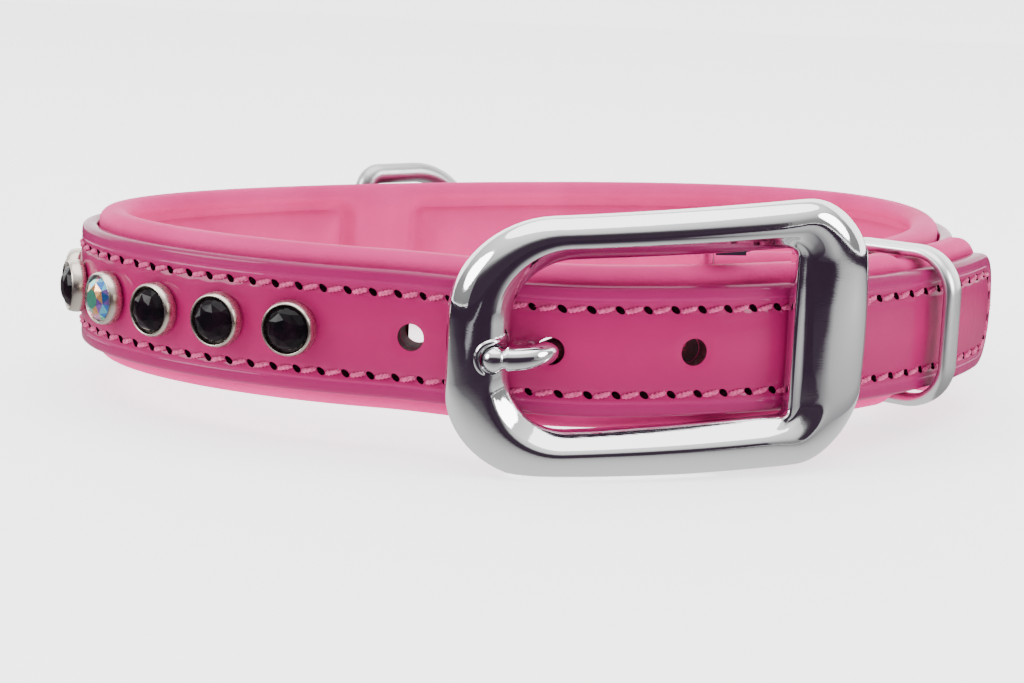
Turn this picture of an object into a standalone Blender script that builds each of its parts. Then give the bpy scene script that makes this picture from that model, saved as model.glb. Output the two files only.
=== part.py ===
"""A buckled leather dog collar, standing on its edge.

A patent strap and its padded lining run round the neck as a spiral: from the buckle's heel bar round to the free
tip, which lies over the start and goes through the keeper. Metres, +Z up. The collar is modelled round the middle
plane of its strap and then stood on the buckle's lower rail and the lead ring.
"""

import math

import bmesh
import bpy
from mathutils import Matrix, Vector

# The neck loop, measured on the strap's outer face
LOOP_HALF_LENGTH = 0.082
LOOP_HALF_DEPTH = 0.054
LOOP_SWEEP = 0.0135  # how far both ends lie behind the middle of the front
LOOP_YAW = math.radians(26.5)  # the long axis is turned this far, its right end to the back
HEEL_ANGLE = math.radians(-91)  # where the heel bar lies on the loop

# Strap and lining
STRAP_WIDTH = 0.020
STRAP_THICKNESS = 0.0026
STRAP_EDGE_RADIUS = 0.0009
LINING_WIDTH = 0.025
LINING_THICKNESS = 0.005
LINING_EDGE_RADIUS = 0.0021
GAP = 0.0003  # between touching pieces
FREE_END = 0.0712  # from the heel bar to the tip
TIP_LENGTH = 0.0095  # the rounded part of the tip
LINING_TIP_RIM = 0.0012  # how far the lining shows round the tip
RISE_START = 0.054  # before the heel bar, where the free end starts to climb over the other
RISE_LENGTH = 0.034
FOLD_BACK = 0.012  # the turned-in end of the strap behind the heel bar
LINING_START = 0.0045  # from the heel bar to the lining's first edge
LINING_SETTLE = 0.008  # the length in which the lining comes up behind the fold
PATH_STEP = 0.006

# Belt holes
HOLE_DIAMETER = 0.0042
HOLE_PITCH = 0.0204
TONGUE_HOLE = 0.0278  # from the heel bar to the hole that the tongue goes through
HOLES_BEFORE = 1
HOLES_AFTER = 2

# Buckle
BUCKLE_HEIGHT = 0.0414  # at its right end
BUCKLE_LEFT_HEIGHT = 0.0398
BUCKLE_DEPTH = 0.0052  # from its back to the top of its dome
BUCKLE_BOW = 0.0022  # how far its back arches between the window's ends
BUCKLE_SKEW = math.tan(math.radians(3.3))  # its right end sits this slope higher on the strap
BUCKLE_LIFT = 0.0013  # how far the casting's middle sits above the strap's
WINDOW_LEFT = 0.0338  # from the heel bar to the window's left end
WINDOW_RIGHT = 0.0070
LEFT_BAR = 0.0092
RIGHT_PLATE = 0.0138
WINDOW_HEIGHT = 0.0260
WINDOW_RISE = 0.0004  # how far the window's middle sits above the casting's
OUTER_CORNER_LEFT = 0.0150
OUTER_CORNER_RIGHT = 0.0118
PLATE_BOW = 0.0015  # how far the plate's right side falls back towards its corners
WINDOW_CORNER_LEFT = 0.0090
WINDOW_CORNER_RIGHT = 0.0012
HEEL_RADIUS = 0.0016
LUG_LENGTH = 0.0060
LUG_WIDTH = 0.0030
LUG_SINK = 0.3  # how deep a lug goes into its rail, as a share of the casting's depth
REST_FLAT = 0.0003  # how much is taken off the lower rail for its flat

# Tongue
TONGUE_RADIUS = 0.0018
TONGUE_ROOT_RADIUS = 0.0011
TONGUE_TIP_RADIUS = 0.0020
TONGUE_DROOP = 0.0009  # how far its tip hangs below the strap's middle
TONGUE_EYE_START = math.radians(-215)
TONGUE_EYE_TURN = math.radians(300)
SEAT_CLEARANCE = 0.00035

# Keeper
KEEPER_AT = 0.0405  # from the heel bar
KEEPER_BAND = 0.0044
KEEPER_THICKNESS = 0.0021
KEEPER_CORNER = 0.0036  # at the neck side
KEEPER_FRONT_CORNER = 0.0068
KEEPER_STAND_OFF = 0.0020  # between the strap's face and the band's bowed front
KEEPER_SQUEEZE = 0.89  # the lining's section under the keeper, as a share of its full section
KEEPER_SQUEEZE_LENGTH = 0.0085  # from the keeper's middle to the lining's full section

# Lead ring
RING_FROM_STUDS = 0.0314  # from the last stud to the ring's straight bar
RING_WIRE = 0.0038
RING_BOW_RADIUS = 0.0138  # of the round bow's middle line
RING_BOW_CENTRE = 0.0112  # from the straight bar
RING_CORNER = 0.0030
RING_LEAN = math.radians(8.5)  # the bow leans this far off the strap
RING_BUMP_HALF_LENGTH = 0.0115

# Studs
STUD_COUNT = 9
STUD_FIRST = 0.0672  # before the heel bar
STUD_PITCH = 0.0126
SETTING_DIAMETER = 0.0088
SETTING_HEIGHT = 0.0026
STONE_DIAMETER = 0.0072
STONE_CROWN = 0.0016
STONE_BACK = 0.00067
CLEAR_STONES = (4, 8)

# Each section row of the buckle's casting: across from the window, as a share of the bar's width, and out from
# its back, as a share of the casting's depth
CASTING_ROWS = (
    (0.00, 0.12),
    (0.00, 0.40),
    (0.10, 0.56),
    (0.26, 0.83),
    (0.44, 1.00),
    (0.68, 0.96),
    (0.88, 0.74),
    (1.00, 0.40),
    (0.94, 0.10),
    (0.80, 0.00),
    (0.14, 0.00),
)

# The tongue's line beyond its eye: before the heel bar and out from the loop, as shares of the tongue hole's
# distance and of the free end's rise
TONGUE_ROWS = (
    (0.245, -0.21),
    (0.525, -0.22),
    (0.695, -0.15),
    (0.825, 0.10),
    (0.935, 0.49),
    (1.01, 0.85),
    (1.07, 1.08),
    (1.12, 1.19),
    (1.17, 1.22),
    (1.215, 1.22),
)

# Each ring of a stud's setting: radius and height, as shares of its own
SETTING_ROWS = (
    (0.00, 0.00),
    (0.86, 0.00),
    (0.98, 0.16),
    (1.00, 0.46),
    (0.95, 0.82),
    (0.89, 1.00),
    (0.84, 0.94),
    (0.845, 0.42),
    (0.00, 0.42),
)

FULL_THICKNESS = STRAP_THICKNESS + GAP + LINING_THICKNESS
FREE_END_RISE = FULL_THICKNESS + GAP
HEEL_OUT = -(STRAP_THICKNESS + GAP + HEEL_RADIUS)
FOLD_RADIUS = HEEL_RADIUS + GAP + STRAP_THICKNESS / 2
FOLD_EXTRA = 2 * FOLD_RADIUS - STRAP_THICKNESS - GAP
RING_BUMP = RING_WIRE + 2 * GAP
TANGENT_STEP = GAP * 3  # how far off the loop's direction is read


def smooth(value):
    """An even ease from 0 to 1."""
    value = min(max(value, 0.0), 1.0)
    return value * value * (3 - 2 * value)


class Loop:
    """The plan curve of the strap's outer face, read by its length from the heel bar, counterclockwise."""

    STEPS = 1440

    def __init__(self):
        self.points = [self.at_angle(HEEL_ANGLE + math.tau * i / self.STEPS) for i in range(self.STEPS)]
        self.lengths = [0.0]
        for i in range(self.STEPS):
            step = self.points[(i + 1) % self.STEPS] - self.points[i]
            self.lengths.append(self.lengths[-1] + step.length)
        self.length = self.lengths[-1]

    @staticmethod
    def at_angle(angle):
        x = LOOP_HALF_LENGTH * math.cos(angle)
        y = LOOP_HALF_DEPTH * math.sin(angle) + LOOP_SWEEP * (math.cos(angle) ** 2 - 0.5)
        return Matrix.Rotation(LOOP_YAW, 3, "Z") @ Vector((x, y, 0.0))

    def point(self, along):
        along = along % self.length
        low, high = 0, self.STEPS
        while high - low > 1:
            middle = (low + high) // 2
            if self.lengths[middle] <= along:
                low = middle
            else:
                high = middle
        share = (along - self.lengths[low]) / (self.lengths[low + 1] - self.lengths[low])
        return self.points[low].lerp(self.points[(low + 1) % self.STEPS], share)

    def tangent(self, along):
        return (self.point(along + TANGENT_STEP) - self.point(along - TANGENT_STEP)).normalized()

    def outward(self, along):
        tangent = self.tangent(along)
        return Vector((tangent.y, -tangent.x, 0.0))

    def spot(self, along, out, up=0.0):
        """A point by its length from the heel bar, its distance out from the loop and its height."""
        return self.point(along) + self.outward(along) * out + Vector((0.0, 0.0, up))

    def frame(self, along, out, up=0.0):
        """A matrix whose X runs along the loop, Y points inward and Z up."""
        tangent = self.tangent(along)
        axes = Matrix((tangent, -self.outward(along), Vector((0.0, 0.0, 1.0)))).transposed().to_4x4()
        axes.translation = self.spot(along, out, up)
        return axes


LOOP = Loop()
TURN = LOOP.length  # the heel bar again, after one turn
RING_AT = TURN - STUD_FIRST - (STUD_COUNT - 1) * STUD_PITCH - RING_FROM_STUDS


def face_out(along):
    """How far the strap's outer face lies out from the loop."""
    rise = FREE_END_RISE * smooth((along - (TURN - RISE_START)) / RISE_LENGTH)
    near = abs(along - RING_AT) / RING_BUMP_HALF_LENGTH
    return rise + RING_BUMP * smooth(1 - near)


def squeeze(along):
    """The lining's section under the keeper, as a share of its full section."""
    near = min(abs(along - KEEPER_AT), abs(along - TURN - KEEPER_AT)) / KEEPER_SQUEEZE_LENGTH
    steepness = 1.6
    return 1 - (1 - KEEPER_SQUEEZE) * smooth(steepness * (1 - near))


def lining_out(along):
    """How far the middle of the lining lies out from the loop."""
    bump = RING_BUMP * smooth(1 - abs(along - RING_AT) / RING_BUMP_HALF_LENGTH)
    behind_fold = FOLD_EXTRA * (1 - smooth(along / FOLD_BACK))
    behind_end = (STRAP_THICKNESS + GAP) * (1 - smooth((along - FOLD_BACK - GAP) / LINING_SETTLE))
    outer = face_out(along) - bump - STRAP_THICKNESS - GAP - behind_fold - behind_end
    return outer - LINING_THICKNESS * squeeze(along) / 2


def collection(name):
    new = bpy.data.collections.new(name)
    bpy.context.scene.collection.children.link(new)
    return new


def clear_scene():
    for old in list(bpy.data.objects):
        bpy.data.objects.remove(old, do_unlink=True)


def material(name, color, roughness, metallic=0.0, coat=0.0):
    new = bpy.data.materials.new(name)
    new.use_nodes = True
    shader = new.node_tree.nodes["Principled BSDF"]
    shader.inputs["Base Color"].default_value = (*color, 1.0)
    shader.inputs["Roughness"].default_value = roughness
    shader.inputs["Metallic"].default_value = metallic
    shader.inputs["Coat Weight"].default_value = coat
    return new


def add_object(name, data, group, parent=None):
    new = bpy.data.objects.new(name, data)
    group.objects.link(new)
    new.parent = parent
    return new


def add_part(name, data, look):
    new = add_object(name, data, PARTS, STAND)
    new.data.materials.clear()
    new.data.materials.append(look)
    for face in new.data.polygons:
        face.use_smooth = True
    new.data.set_sharp_from_angle(angle=math.radians(40))
    return new


def add_cutter(name, data):
    new = add_object(name, data, CUTTERS, STAND)
    new.hide_render = True
    new.display_type = "WIRE"
    return new


def boolean(target, tool, operation="DIFFERENCE"):
    change = target.modifiers.new(f"{operation.title()} {tool.name}", "BOOLEAN")
    change.operation = operation
    change.solver = "EXACT"
    change.object = tool
    return change


def outline_curve(name, points, cyclic=True):
    """A poly curve through the points, flat where it is a profile."""
    curve = bpy.data.curves.new(name, "CURVE")
    curve.dimensions = "2D" if cyclic and all(p.z == 0 for p in points) else "3D"
    spline = curve.splines.new("POLY")
    spline.points.add(len(points) - 1)
    for target, point in zip(spline.points, points):
        target.co = (*point, 1.0)
    spline.use_cyclic_u = cyclic
    return curve


def rounded_rectangle(width, height, radius, corner_steps=2, left_radius=None):
    """The outline of a rectangle with round corners, about its middle."""
    right_radius = radius
    points = []
    for corner, (side_x, side_y) in enumerate(((1, 1), (-1, 1), (-1, -1), (1, -1))):
        radius = left_radius if left_radius and side_x < 0 else right_radius
        for step in range(corner_steps + 1):
            angle = math.radians(90) * (corner + step / corner_steps)
            x = side_x * (width / 2 - radius) + radius * math.cos(angle)
            y = side_y * (height / 2 - radius) + radius * math.sin(angle)
            points.append(Vector((x, y, 0.0)))
    return points


def mesh_of_curve(name, curve):
    """The closed mesh of a curve, with its caps welded on."""
    source = bpy.data.objects.new(name, curve)
    bpy.context.scene.collection.objects.link(source)
    bpy.context.view_layer.update()
    evaluated = source.evaluated_get(bpy.context.evaluated_depsgraph_get())
    mesh = bpy.data.meshes.new_from_object(evaluated)
    bpy.data.objects.remove(source, do_unlink=True)
    work = bmesh.new()
    work.from_mesh(mesh)
    bmesh.ops.remove_doubles(work, verts=work.verts, dist=0.00001)
    bmesh.ops.recalc_face_normals(work, faces=work.faces)
    work.to_mesh(mesh)
    work.free()
    return mesh


def sweep(name, path, profile, shares=None, cyclic=False):
    """A profile carried along a path, with its own height kept upright."""
    section = bpy.data.objects.new(f"{name}_profile", outline_curve(f"{name}_profile", profile))
    bpy.context.scene.collection.objects.link(section)
    curve = outline_curve(name, path, cyclic)
    curve.dimensions = "3D"
    curve.twist_mode = "Z_UP"
    curve.bevel_mode = "OBJECT"
    curve.bevel_object = section
    curve.use_fill_caps = not cyclic
    if shares:
        for target, share in zip(curve.splines[0].points, shares):
            target.radius = share
    mesh = mesh_of_curve(name, curve)
    bpy.data.objects.remove(section, do_unlink=True)
    return mesh


def wire(name, path, radii, cyclic=False, resolution=3):
    """A round wire along a path."""
    curve = outline_curve(name, path, cyclic)
    curve.dimensions = "3D"
    curve.bevel_depth = 1.0
    curve.bevel_resolution = resolution
    curve.use_fill_caps = not cyclic
    for target, radius in zip(curve.splines[0].points, radii):
        target.radius = radius
    return mesh_of_curve(name, curve)


def box_mesh(name, size):
    work = bmesh.new()
    bmesh.ops.create_cube(work, size=1.0)
    bmesh.ops.scale(work, vec=size, verts=work.verts)
    mesh = bpy.data.meshes.new(name)
    work.to_mesh(mesh)
    work.free()
    return mesh


def cylinder_mesh(name, radius, length, sides):
    """A cylinder along Z, about its middle."""
    work = bmesh.new()
    bmesh.ops.create_cone(work, cap_ends=True, segments=sides, radius1=radius, radius2=radius, depth=length)
    mesh = bpy.data.meshes.new(name)
    work.to_mesh(mesh)
    work.free()
    return mesh


def spaced(start, end):
    """Lengths along the loop on one even grid, closer over the lead ring and under the keeper, with both ends."""
    inner = [PATH_STEP * i for i in range(math.ceil(end / PATH_STEP))]
    for middle, half, steps in (
        (RING_AT, RING_BUMP_HALF_LENGTH, 4),
        (KEEPER_AT, KEEPER_SQUEEZE_LENGTH, 3),
        (TURN + KEEPER_AT, KEEPER_SQUEEZE_LENGTH, 3),
    ):
        inner = [along for along in inner if abs(along - middle) > half + PATH_STEP / 3]
        inner += [middle + half * step / steps for step in range(-steps, steps + 1)]
    room = PATH_STEP / 4
    return [start] + sorted(along for along in inner if start + room < along < end - room) + [end]


def tip_cutter(name, tip_along, rim, depth):
    """What is cut off round the free end's tip, down to a depth, with a rim more than the strap's own outline."""
    half = STRAP_WIDTH / 2 + rim
    reach = TIP_LENGTH + rim
    beyond = STRAP_WIDTH
    outline = [Vector((-reach, beyond, 0.0))]
    steps = 14
    for step in range(steps + 1):
        angle = math.radians(90 - 180 * step / steps)
        outline.append(Vector((-reach + reach * math.cos(angle), half * math.sin(angle), 0.0)))
    outline += [Vector((-reach, -beyond, 0.0)), Vector((beyond, -beyond, 0.0)), Vector((beyond, beyond, 0.0))]
    curve = outline_curve(name, outline)
    curve.fill_mode = "BOTH"
    curve.extrude = (depth + STRAP_THICKNESS) / 2
    cutter = add_cutter(name, mesh_of_curve(name, curve))
    middle = face_out(tip_along) + (STRAP_THICKNESS - depth) / 2
    upright = Matrix.Rotation(math.radians(90), 4, "X")
    cutter.matrix_local = LOOP.frame(tip_along + rim, middle) @ upright
    return cutter


def hole_cutters():
    """One pin for each belt hole, through strap and lining."""
    cutters = []
    for number in range(-HOLES_BEFORE, HOLES_AFTER + 1):
        along = TURN - TONGUE_HOLE + number * HOLE_PITCH
        length = FULL_THICKNESS + GAP / 2 + STRAP_THICKNESS
        pin = cylinder_mesh(f"hole_pin_{number}", HOLE_DIAMETER / 2, length, 16)
        cutter = add_cutter(f"hole_cutter_{number + HOLES_BEFORE + 1}", pin)
        tilt = Matrix.Rotation(math.radians(90), 4, "X")
        cutter.matrix_local = LOOP.frame(along, face_out(along) + STRAP_THICKNESS - length / 2) @ tilt
        cutters.append(cutter)
    return cutters


def tongue_mesh(name, extra):
    """The tongue: an eye round the heel bar, a rising shank and a ball end. Extra radius gives the room it needs."""
    eye_radius = HEEL_RADIUS + GAP + TONGUE_ROOT_RADIUS
    path = []
    radii = []
    steps = 12
    for step in range(steps + 1):
        angle = TONGUE_EYE_START + TONGUE_EYE_TURN * step / steps
        path.append(LOOP.spot(TURN - eye_radius * math.cos(angle), HEEL_OUT + eye_radius * math.sin(angle)))
        radii.append(TONGUE_ROOT_RADIUS + extra)
    taper_rows = 5
    for number, (before, out) in enumerate(TONGUE_ROWS):
        share = smooth((number + 1) / taper_rows)
        droop = TONGUE_DROOP * smooth((before - TONGUE_ROWS[4][0]) / (TONGUE_ROWS[-1][0] - TONGUE_ROWS[4][0]))
        path.append(LOOP.spot(TURN - TONGUE_HOLE * before, FREE_END_RISE * out, -droop))
        radii.append(TONGUE_ROOT_RADIUS + (TONGUE_RADIUS - TONGUE_ROOT_RADIUS) * share + extra)
    along = (path[-1] - path[-2]).normalized()
    ball = TONGUE_TIP_RADIUS + extra
    middle = path[-1] + along * TONGUE_TIP_RADIUS
    for angle in (-35, 0, 30, 55, 78):
        path.append(middle + along * ball * math.sin(math.radians(angle)))
        radii.append(ball * math.cos(math.radians(angle)))
    return wire(name, path, radii, resolution=2)


def build_strap(look):
    """The strap: turned in behind the heel bar, round it, round the neck and on to the free tip."""
    tip = TURN + FREE_END
    line = []
    back_steps = 3
    for step in range(back_steps):
        along = FOLD_BACK * (1 - step / back_steps)
        extra = FOLD_EXTRA * (1 - smooth(along / FOLD_BACK))
        line.append((along, -STRAP_THICKNESS * 1.5 - GAP - extra))
    turn_steps = 8
    for step in range(turn_steps + 1):
        angle = math.radians(-90 - 180 * step / turn_steps)
        line.append((FOLD_RADIUS * math.cos(angle), HEEL_OUT + FOLD_RADIUS * math.sin(angle)))
    for along in spaced(PATH_STEP / 2, tip):
        line.append((along, face_out(along) - STRAP_THICKNESS / 2))
    path = [LOOP.spot(along, out) for along, out in line]
    profile = rounded_rectangle(STRAP_THICKNESS, STRAP_WIDTH, STRAP_EDGE_RADIUS)
    strap = add_part("strap", sweep("strap", path, profile), look)
    slot = add_cutter("tongue_slot_cutter", box_mesh("tongue_slot", slot_size()))
    slot.matrix_local = LOOP.frame(0.0, HEEL_OUT - GAP)
    boolean(strap, slot)
    boolean(strap, tip_cutter("strap_tip_cutter", tip, 0.0, STRAP_THICKNESS + LINING_THICKNESS / 2))
    return strap


def slot_size():
    """The slot in the fold, in which the tongue's eye turns."""
    reach = HEEL_RADIUS + 2 * GAP + 2 * TONGUE_ROOT_RADIUS
    return (2 * reach + 2 * STRAP_THICKNESS, 2 * reach + 2 * GAP, 2 * TONGUE_ROOT_RADIUS + 4 * GAP)


def build_lining(look):
    """The padded lining behind the strap, from the heel bar round to the tip."""
    end = TURN + FREE_END
    lengths = spaced(LINING_START, end)
    path = [LOOP.spot(along, lining_out(along)) for along in lengths]
    shares = [squeeze(along) for along in lengths]
    profile = rounded_rectangle(LINING_THICKNESS, LINING_WIDTH, LINING_EDGE_RADIUS)
    lining = add_part("lining", sweep("lining", path, profile, shares), look)
    depth = FULL_THICKNESS + GAP + STRAP_THICKNESS - GAP / 2
    boolean(lining, tip_cutter("lining_tip_cutter", end - LINING_TIP_RIM, LINING_TIP_RIM, depth))
    return lining


def casting_outline(left, right, height, corner_left, corner_right):
    """A frame outline, flat: along and up, with round corners and evenly divided sides."""
    corners = (
        (right - corner_right, height / 2 - corner_right, corner_right, 0),
        (left + corner_left, height / 2 - corner_left, corner_left, 90),
        (left + corner_left, -height / 2 + corner_left, corner_left, 180),
        (right - corner_right, -height / 2 + corner_right, corner_right, 270),
    )
    corner_steps = 5
    points = []
    for number, (x, z, radius, start) in enumerate(corners):
        for step in range(corner_steps + 1):
            angle = math.radians(start + 90 * step / corner_steps)
            points.append(Vector((x + radius * math.cos(angle), 0.0, z + radius * math.sin(angle))))
        next_x, next_z, next_radius, next_start = corners[(number + 1) % 4]
        angle = math.radians(next_start)
        goal = Vector((next_x + next_radius * math.cos(angle), 0.0, next_z + next_radius * math.sin(angle)))
        here = points[-1]
        steps = 6 if number in (0, 2) else 2
        points += [here.lerp(goal, step / steps) for step in range(1, steps)]
    return points


def casting_frame():
    """The casting's own frame, from the window's left end to its right end, and the distance between them."""
    left = LOOP.spot(TURN - WINDOW_LEFT, face_out(TURN - WINDOW_LEFT) + GAP)
    right = LOOP.spot(TURN + WINDOW_RIGHT, face_out(TURN + WINDOW_RIGHT) + GAP)
    along = (right - left).normalized()
    axes = Matrix((along, Vector((-along.y, along.x, 0.0)), Vector((0.0, 0.0, 1.0)))).transposed().to_4x4()
    axes.translation = left
    return axes, (right - left).length


def casting_back(x, window_length):
    """How far the casting's bowed back stands out from the line between the window's ends."""
    middle = window_length / 2
    return BUCKLE_BOW * (1 - ((x - middle) / middle) ** 2)


def casting_lift(x, window_length):
    """How far the casting sits above the strap's middle."""
    return BUCKLE_LIFT + (x - window_length / 2) * BUCKLE_SKEW


def casting_mesh(name):
    """The buckle's bowed ring: a domed section carried round between the window and the outer outline."""
    length = casting_frame()[1]
    outer = casting_outline(-LEFT_BAR, length + RIGHT_PLATE, BUCKLE_HEIGHT, OUTER_CORNER_LEFT, OUTER_CORNER_RIGHT)
    window = casting_outline(0.0, length, WINDOW_HEIGHT, WINDOW_CORNER_LEFT, WINDOW_CORNER_RIGHT)
    taper = 1 - BUCKLE_LEFT_HEIGHT / BUCKLE_HEIGHT
    work = bmesh.new()
    rings = []
    for edge, inner in zip(outer, window):
        inner.z += WINDOW_RISE
        edge.z *= 1 - taper * max(0.0, 1 - edge.x / length)
        edge.x -= PLATE_BOW * (2 * edge.z / BUCKLE_HEIGHT) ** 2 * smooth((edge.x - length) / RIGHT_PLATE)
        ring = []
        for across, height in CASTING_ROWS:
            point = inner.lerp(edge, across)
            point.y = -casting_back(point.x, length) - BUCKLE_DEPTH * height
            point.z += casting_lift(point.x, length)
            ring.append(work.verts.new(point))
        rings.append(ring)
    for number, ring in enumerate(rings):
        following = rings[(number + 1) % len(rings)]
        for row in range(len(ring)):
            after = (row + 1) % len(ring)
            work.faces.new((ring[row], ring[after], following[after], following[row]))
    bmesh.ops.recalc_face_normals(work, faces=work.faces)
    mesh = bpy.data.meshes.new(name)
    work.to_mesh(mesh)
    work.free()
    return mesh


def build_buckle(look):
    """The buckle: its bowed casting, two lugs behind the rails and the heel bar between them."""
    axes, length = casting_frame()
    buckle = add_part("buckle_frame", casting_mesh("buckle_frame"), look)
    buckle.matrix_local = axes
    heel = axes.inverted() @ LOOP.spot(TURN, HEEL_OUT)
    lug_front = -casting_back(heel.x, length) - BUCKLE_DEPTH * LUG_SINK
    lug_depth = heel.y + HEEL_RADIUS - lug_front
    lift = casting_lift(heel.x, length)
    reach = LINING_WIDTH / 2 + GAP + LUG_WIDTH / 2
    for name, height in (("upper_lug", reach + lift), ("lower_lug", -reach)):
        lug = add_cutter(name, box_mesh(name, (LUG_LENGTH, lug_depth, LUG_WIDTH)))
        place = Vector((heel.x, lug_front + lug_depth / 2, height))
        lug.matrix_local = axes @ Matrix.Translation(place)
        boolean(buckle, lug, "UNION")
    bar = add_cutter("heel_bar", cylinder_mesh("heel_bar", HEEL_RADIUS, 2 * reach + lift, 14))
    bar.matrix_local = LOOP.frame(TURN, HEEL_OUT, lift / 2)
    boolean(buckle, bar, "UNION")
    return buckle


def build_tongue(look):
    """The tongue, hooked round the heel bar, up through its hole and onto the left bar."""
    return add_part("buckle_tongue", tongue_mesh("buckle_tongue", 0.0), look)


def build_keeper(look):
    """The keeper: a D-section band round both layers."""
    outside = face_out(TURN + KEEPER_AT) + KEEPER_STAND_OFF
    inside = lining_out(KEEPER_AT) - LINING_THICKNESS * KEEPER_SQUEEZE / 2 - GAP
    depth = outside - inside + KEEPER_THICKNESS
    height = LINING_WIDTH * KEEPER_SQUEEZE + 2 * GAP + KEEPER_THICKNESS
    route = rounded_rectangle(depth, height, KEEPER_CORNER, corner_steps=5, left_radius=KEEPER_FRONT_CORNER)
    path = [Vector((0.0, point.x, point.y)) for point in route]
    half_band = KEEPER_BAND / 2
    half_thick = KEEPER_THICKNESS / 2
    section = []
    sides = 10
    for step in range(sides):
        angle = math.tau * step / sides
        section.append(Vector((half_thick * math.cos(angle), half_band * math.sin(angle), 0.0)))
    mesh = band_mesh("keeper", path, section)
    keeper = add_part("keeper", mesh, look)
    keeper.matrix_local = LOOP.frame(TURN + KEEPER_AT, (outside + inside) / 2)
    return keeper


def band_mesh(name, path, section):
    """A closed band in the YZ plane: the section's X lies across the band's wall and its Y along the strap."""
    work = bmesh.new()
    rings = []
    for number, point in enumerate(path):
        before = path[number - 1]
        after = path[(number + 1) % len(path)]
        tangent = (after - before).normalized()
        normal = tangent.cross(Vector((1.0, 0.0, 0.0)))
        rings.append([work.verts.new(point + normal * p.x + Vector((p.y, 0.0, 0.0))) for p in section])
    for number, ring in enumerate(rings):
        following = rings[(number + 1) % len(rings)]
        for row in range(len(ring)):
            after = (row + 1) % len(ring)
            work.faces.new((ring[row], ring[after], following[after], following[row]))
    bmesh.ops.recalc_face_normals(work, faces=work.faces)
    mesh = bpy.data.meshes.new(name)
    work.to_mesh(mesh)
    work.free()
    return mesh


def ring_path():
    """The lead ring's middle line: a straight bar on Z and a round bow towards +X."""
    corner_z = RING_BOW_RADIUS - RING_CORNER
    quarter = math.pi / 2
    arcs = (
        (RING_CORNER, -corner_z, RING_CORNER, -2 * quarter, -quarter, 3),
        (RING_BOW_CENTRE, 0.0, RING_BOW_RADIUS, -quarter, quarter, 16),
        (RING_CORNER, corner_z, RING_CORNER, quarter, 2 * quarter, 3),
    )
    points = []
    for x, z, radius, start, end, steps in arcs:
        for step in range(steps + 1):
            angle = start + (end - start) * step / steps
            point = Vector((x + radius * math.cos(angle), 0.0, z + radius * math.sin(angle)))
            if not points or (point - points[-1]).length > radius / 100:
                points.append(point)
    return points


def ring_out():
    """How far the ring's straight bar lies out from the loop, between strap and lining."""
    return face_out(RING_AT) - STRAP_THICKNESS - GAP - RING_WIRE / 2


def build_ring(look):
    """The lead ring: its straight bar stands in the channel behind the strap and is its hinge."""
    hinge = bpy.data.objects.new("lead_ring_hinge", None)
    PARTS.objects.link(hinge)
    hinge.parent = STAND
    hinge.matrix_local = LOOP.frame(RING_AT, ring_out()) @ Matrix.Rotation(math.pi + RING_LEAN, 4, "Z")
    path = ring_path()
    mesh = wire("d_ring", path, [RING_WIRE / 2] * len(path), cyclic=True, resolution=3)
    ring = add_part("d_ring", mesh, look)
    ring.parent = hinge
    return ring


def setting_mesh(name):
    """A turned cup for one stone, flat side down, on Z."""
    profile = bpy.data.meshes.new(name)
    points = [(SETTING_DIAMETER / 2 * r, 0.0, SETTING_HEIGHT * h) for r, h in reversed(SETTING_ROWS)]
    profile.from_pydata(points, [(i, i + 1) for i in range(len(points) - 1)], [])
    source = bpy.data.objects.new(name, profile)
    bpy.context.scene.collection.objects.link(source)
    screw = source.modifiers.new("Screw", "SCREW")
    screw.steps = 18
    screw.render_steps = 18
    screw.use_merge_vertices = True
    screw.merge_threshold = 0.00001
    bpy.context.view_layer.update()
    evaluated = source.evaluated_get(bpy.context.evaluated_depsgraph_get())
    mesh = bpy.data.meshes.new_from_object(evaluated)
    bpy.data.objects.remove(source, do_unlink=True)
    return mesh


def stone_mesh(name):
    """A round cut stone on Z: a flat table, two rows of crown facets, a girdle and a shallow back."""
    radius = STONE_DIAMETER / 2
    work = bmesh.new()
    rows = (
        (8, 0.46, STONE_CROWN, 0.5),
        (8, 0.78, STONE_CROWN * 0.68, 0.0),
        (16, 1.0, STONE_CROWN * 0.12, 0.0),
        (16, 1.0, -STONE_CROWN * 0.06, 0.0),
        (8, 0.5, -STONE_BACK, 0.0),
    )
    for sides, share, height, shift in rows:
        for side in range(sides):
            angle = math.tau * (side + shift) / sides
            work.verts.new((radius * share * math.cos(angle), radius * share * math.sin(angle), height))
    bmesh.ops.convex_hull(work, input=work.verts)
    bmesh.ops.recalc_face_normals(work, faces=work.faces)
    mesh = bpy.data.meshes.new(name)
    work.to_mesh(mesh)
    work.free()
    return mesh


def build_studs(metal, dark, clear):
    """Every stud: a round metal setting on the strap with its stone."""
    setting_shape = setting_mesh("setting")
    stone_shape = stone_mesh("stone")
    floor_height = SETTING_HEIGHT * SETTING_ROWS[-1][1]
    stone_height = floor_height + GAP / 2 + STONE_BACK
    upright = Matrix.Rotation(math.radians(90), 4, "X")
    for number in range(1, STUD_COUNT + 1):
        along = TURN - STUD_FIRST - (number - 1) * STUD_PITCH
        place = LOOP.frame(along, face_out(along) + GAP) @ upright
        setting = add_part(f"stud_{number:02d}_setting", setting_shape.copy(), metal)
        setting.matrix_local = place
        look = clear if number in CLEAR_STONES else dark
        stone = add_part(f"stud_{number:02d}_stone", stone_shape.copy(), look)
        stone.matrix_local = place @ Matrix.Translation((0.0, 0.0, stone_height))
        for face in stone.data.polygons:
            face.use_smooth = False


def lowest(thing):
    """The lowest point of an object as it stands."""
    evaluated = thing.evaluated_get(bpy.context.evaluated_depsgraph_get())
    mesh = evaluated.to_mesh()
    point = min((evaluated.matrix_world @ vertex.co for vertex in mesh.vertices), key=lambda p: p.z)
    evaluated.to_mesh_clear()
    return point


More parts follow.
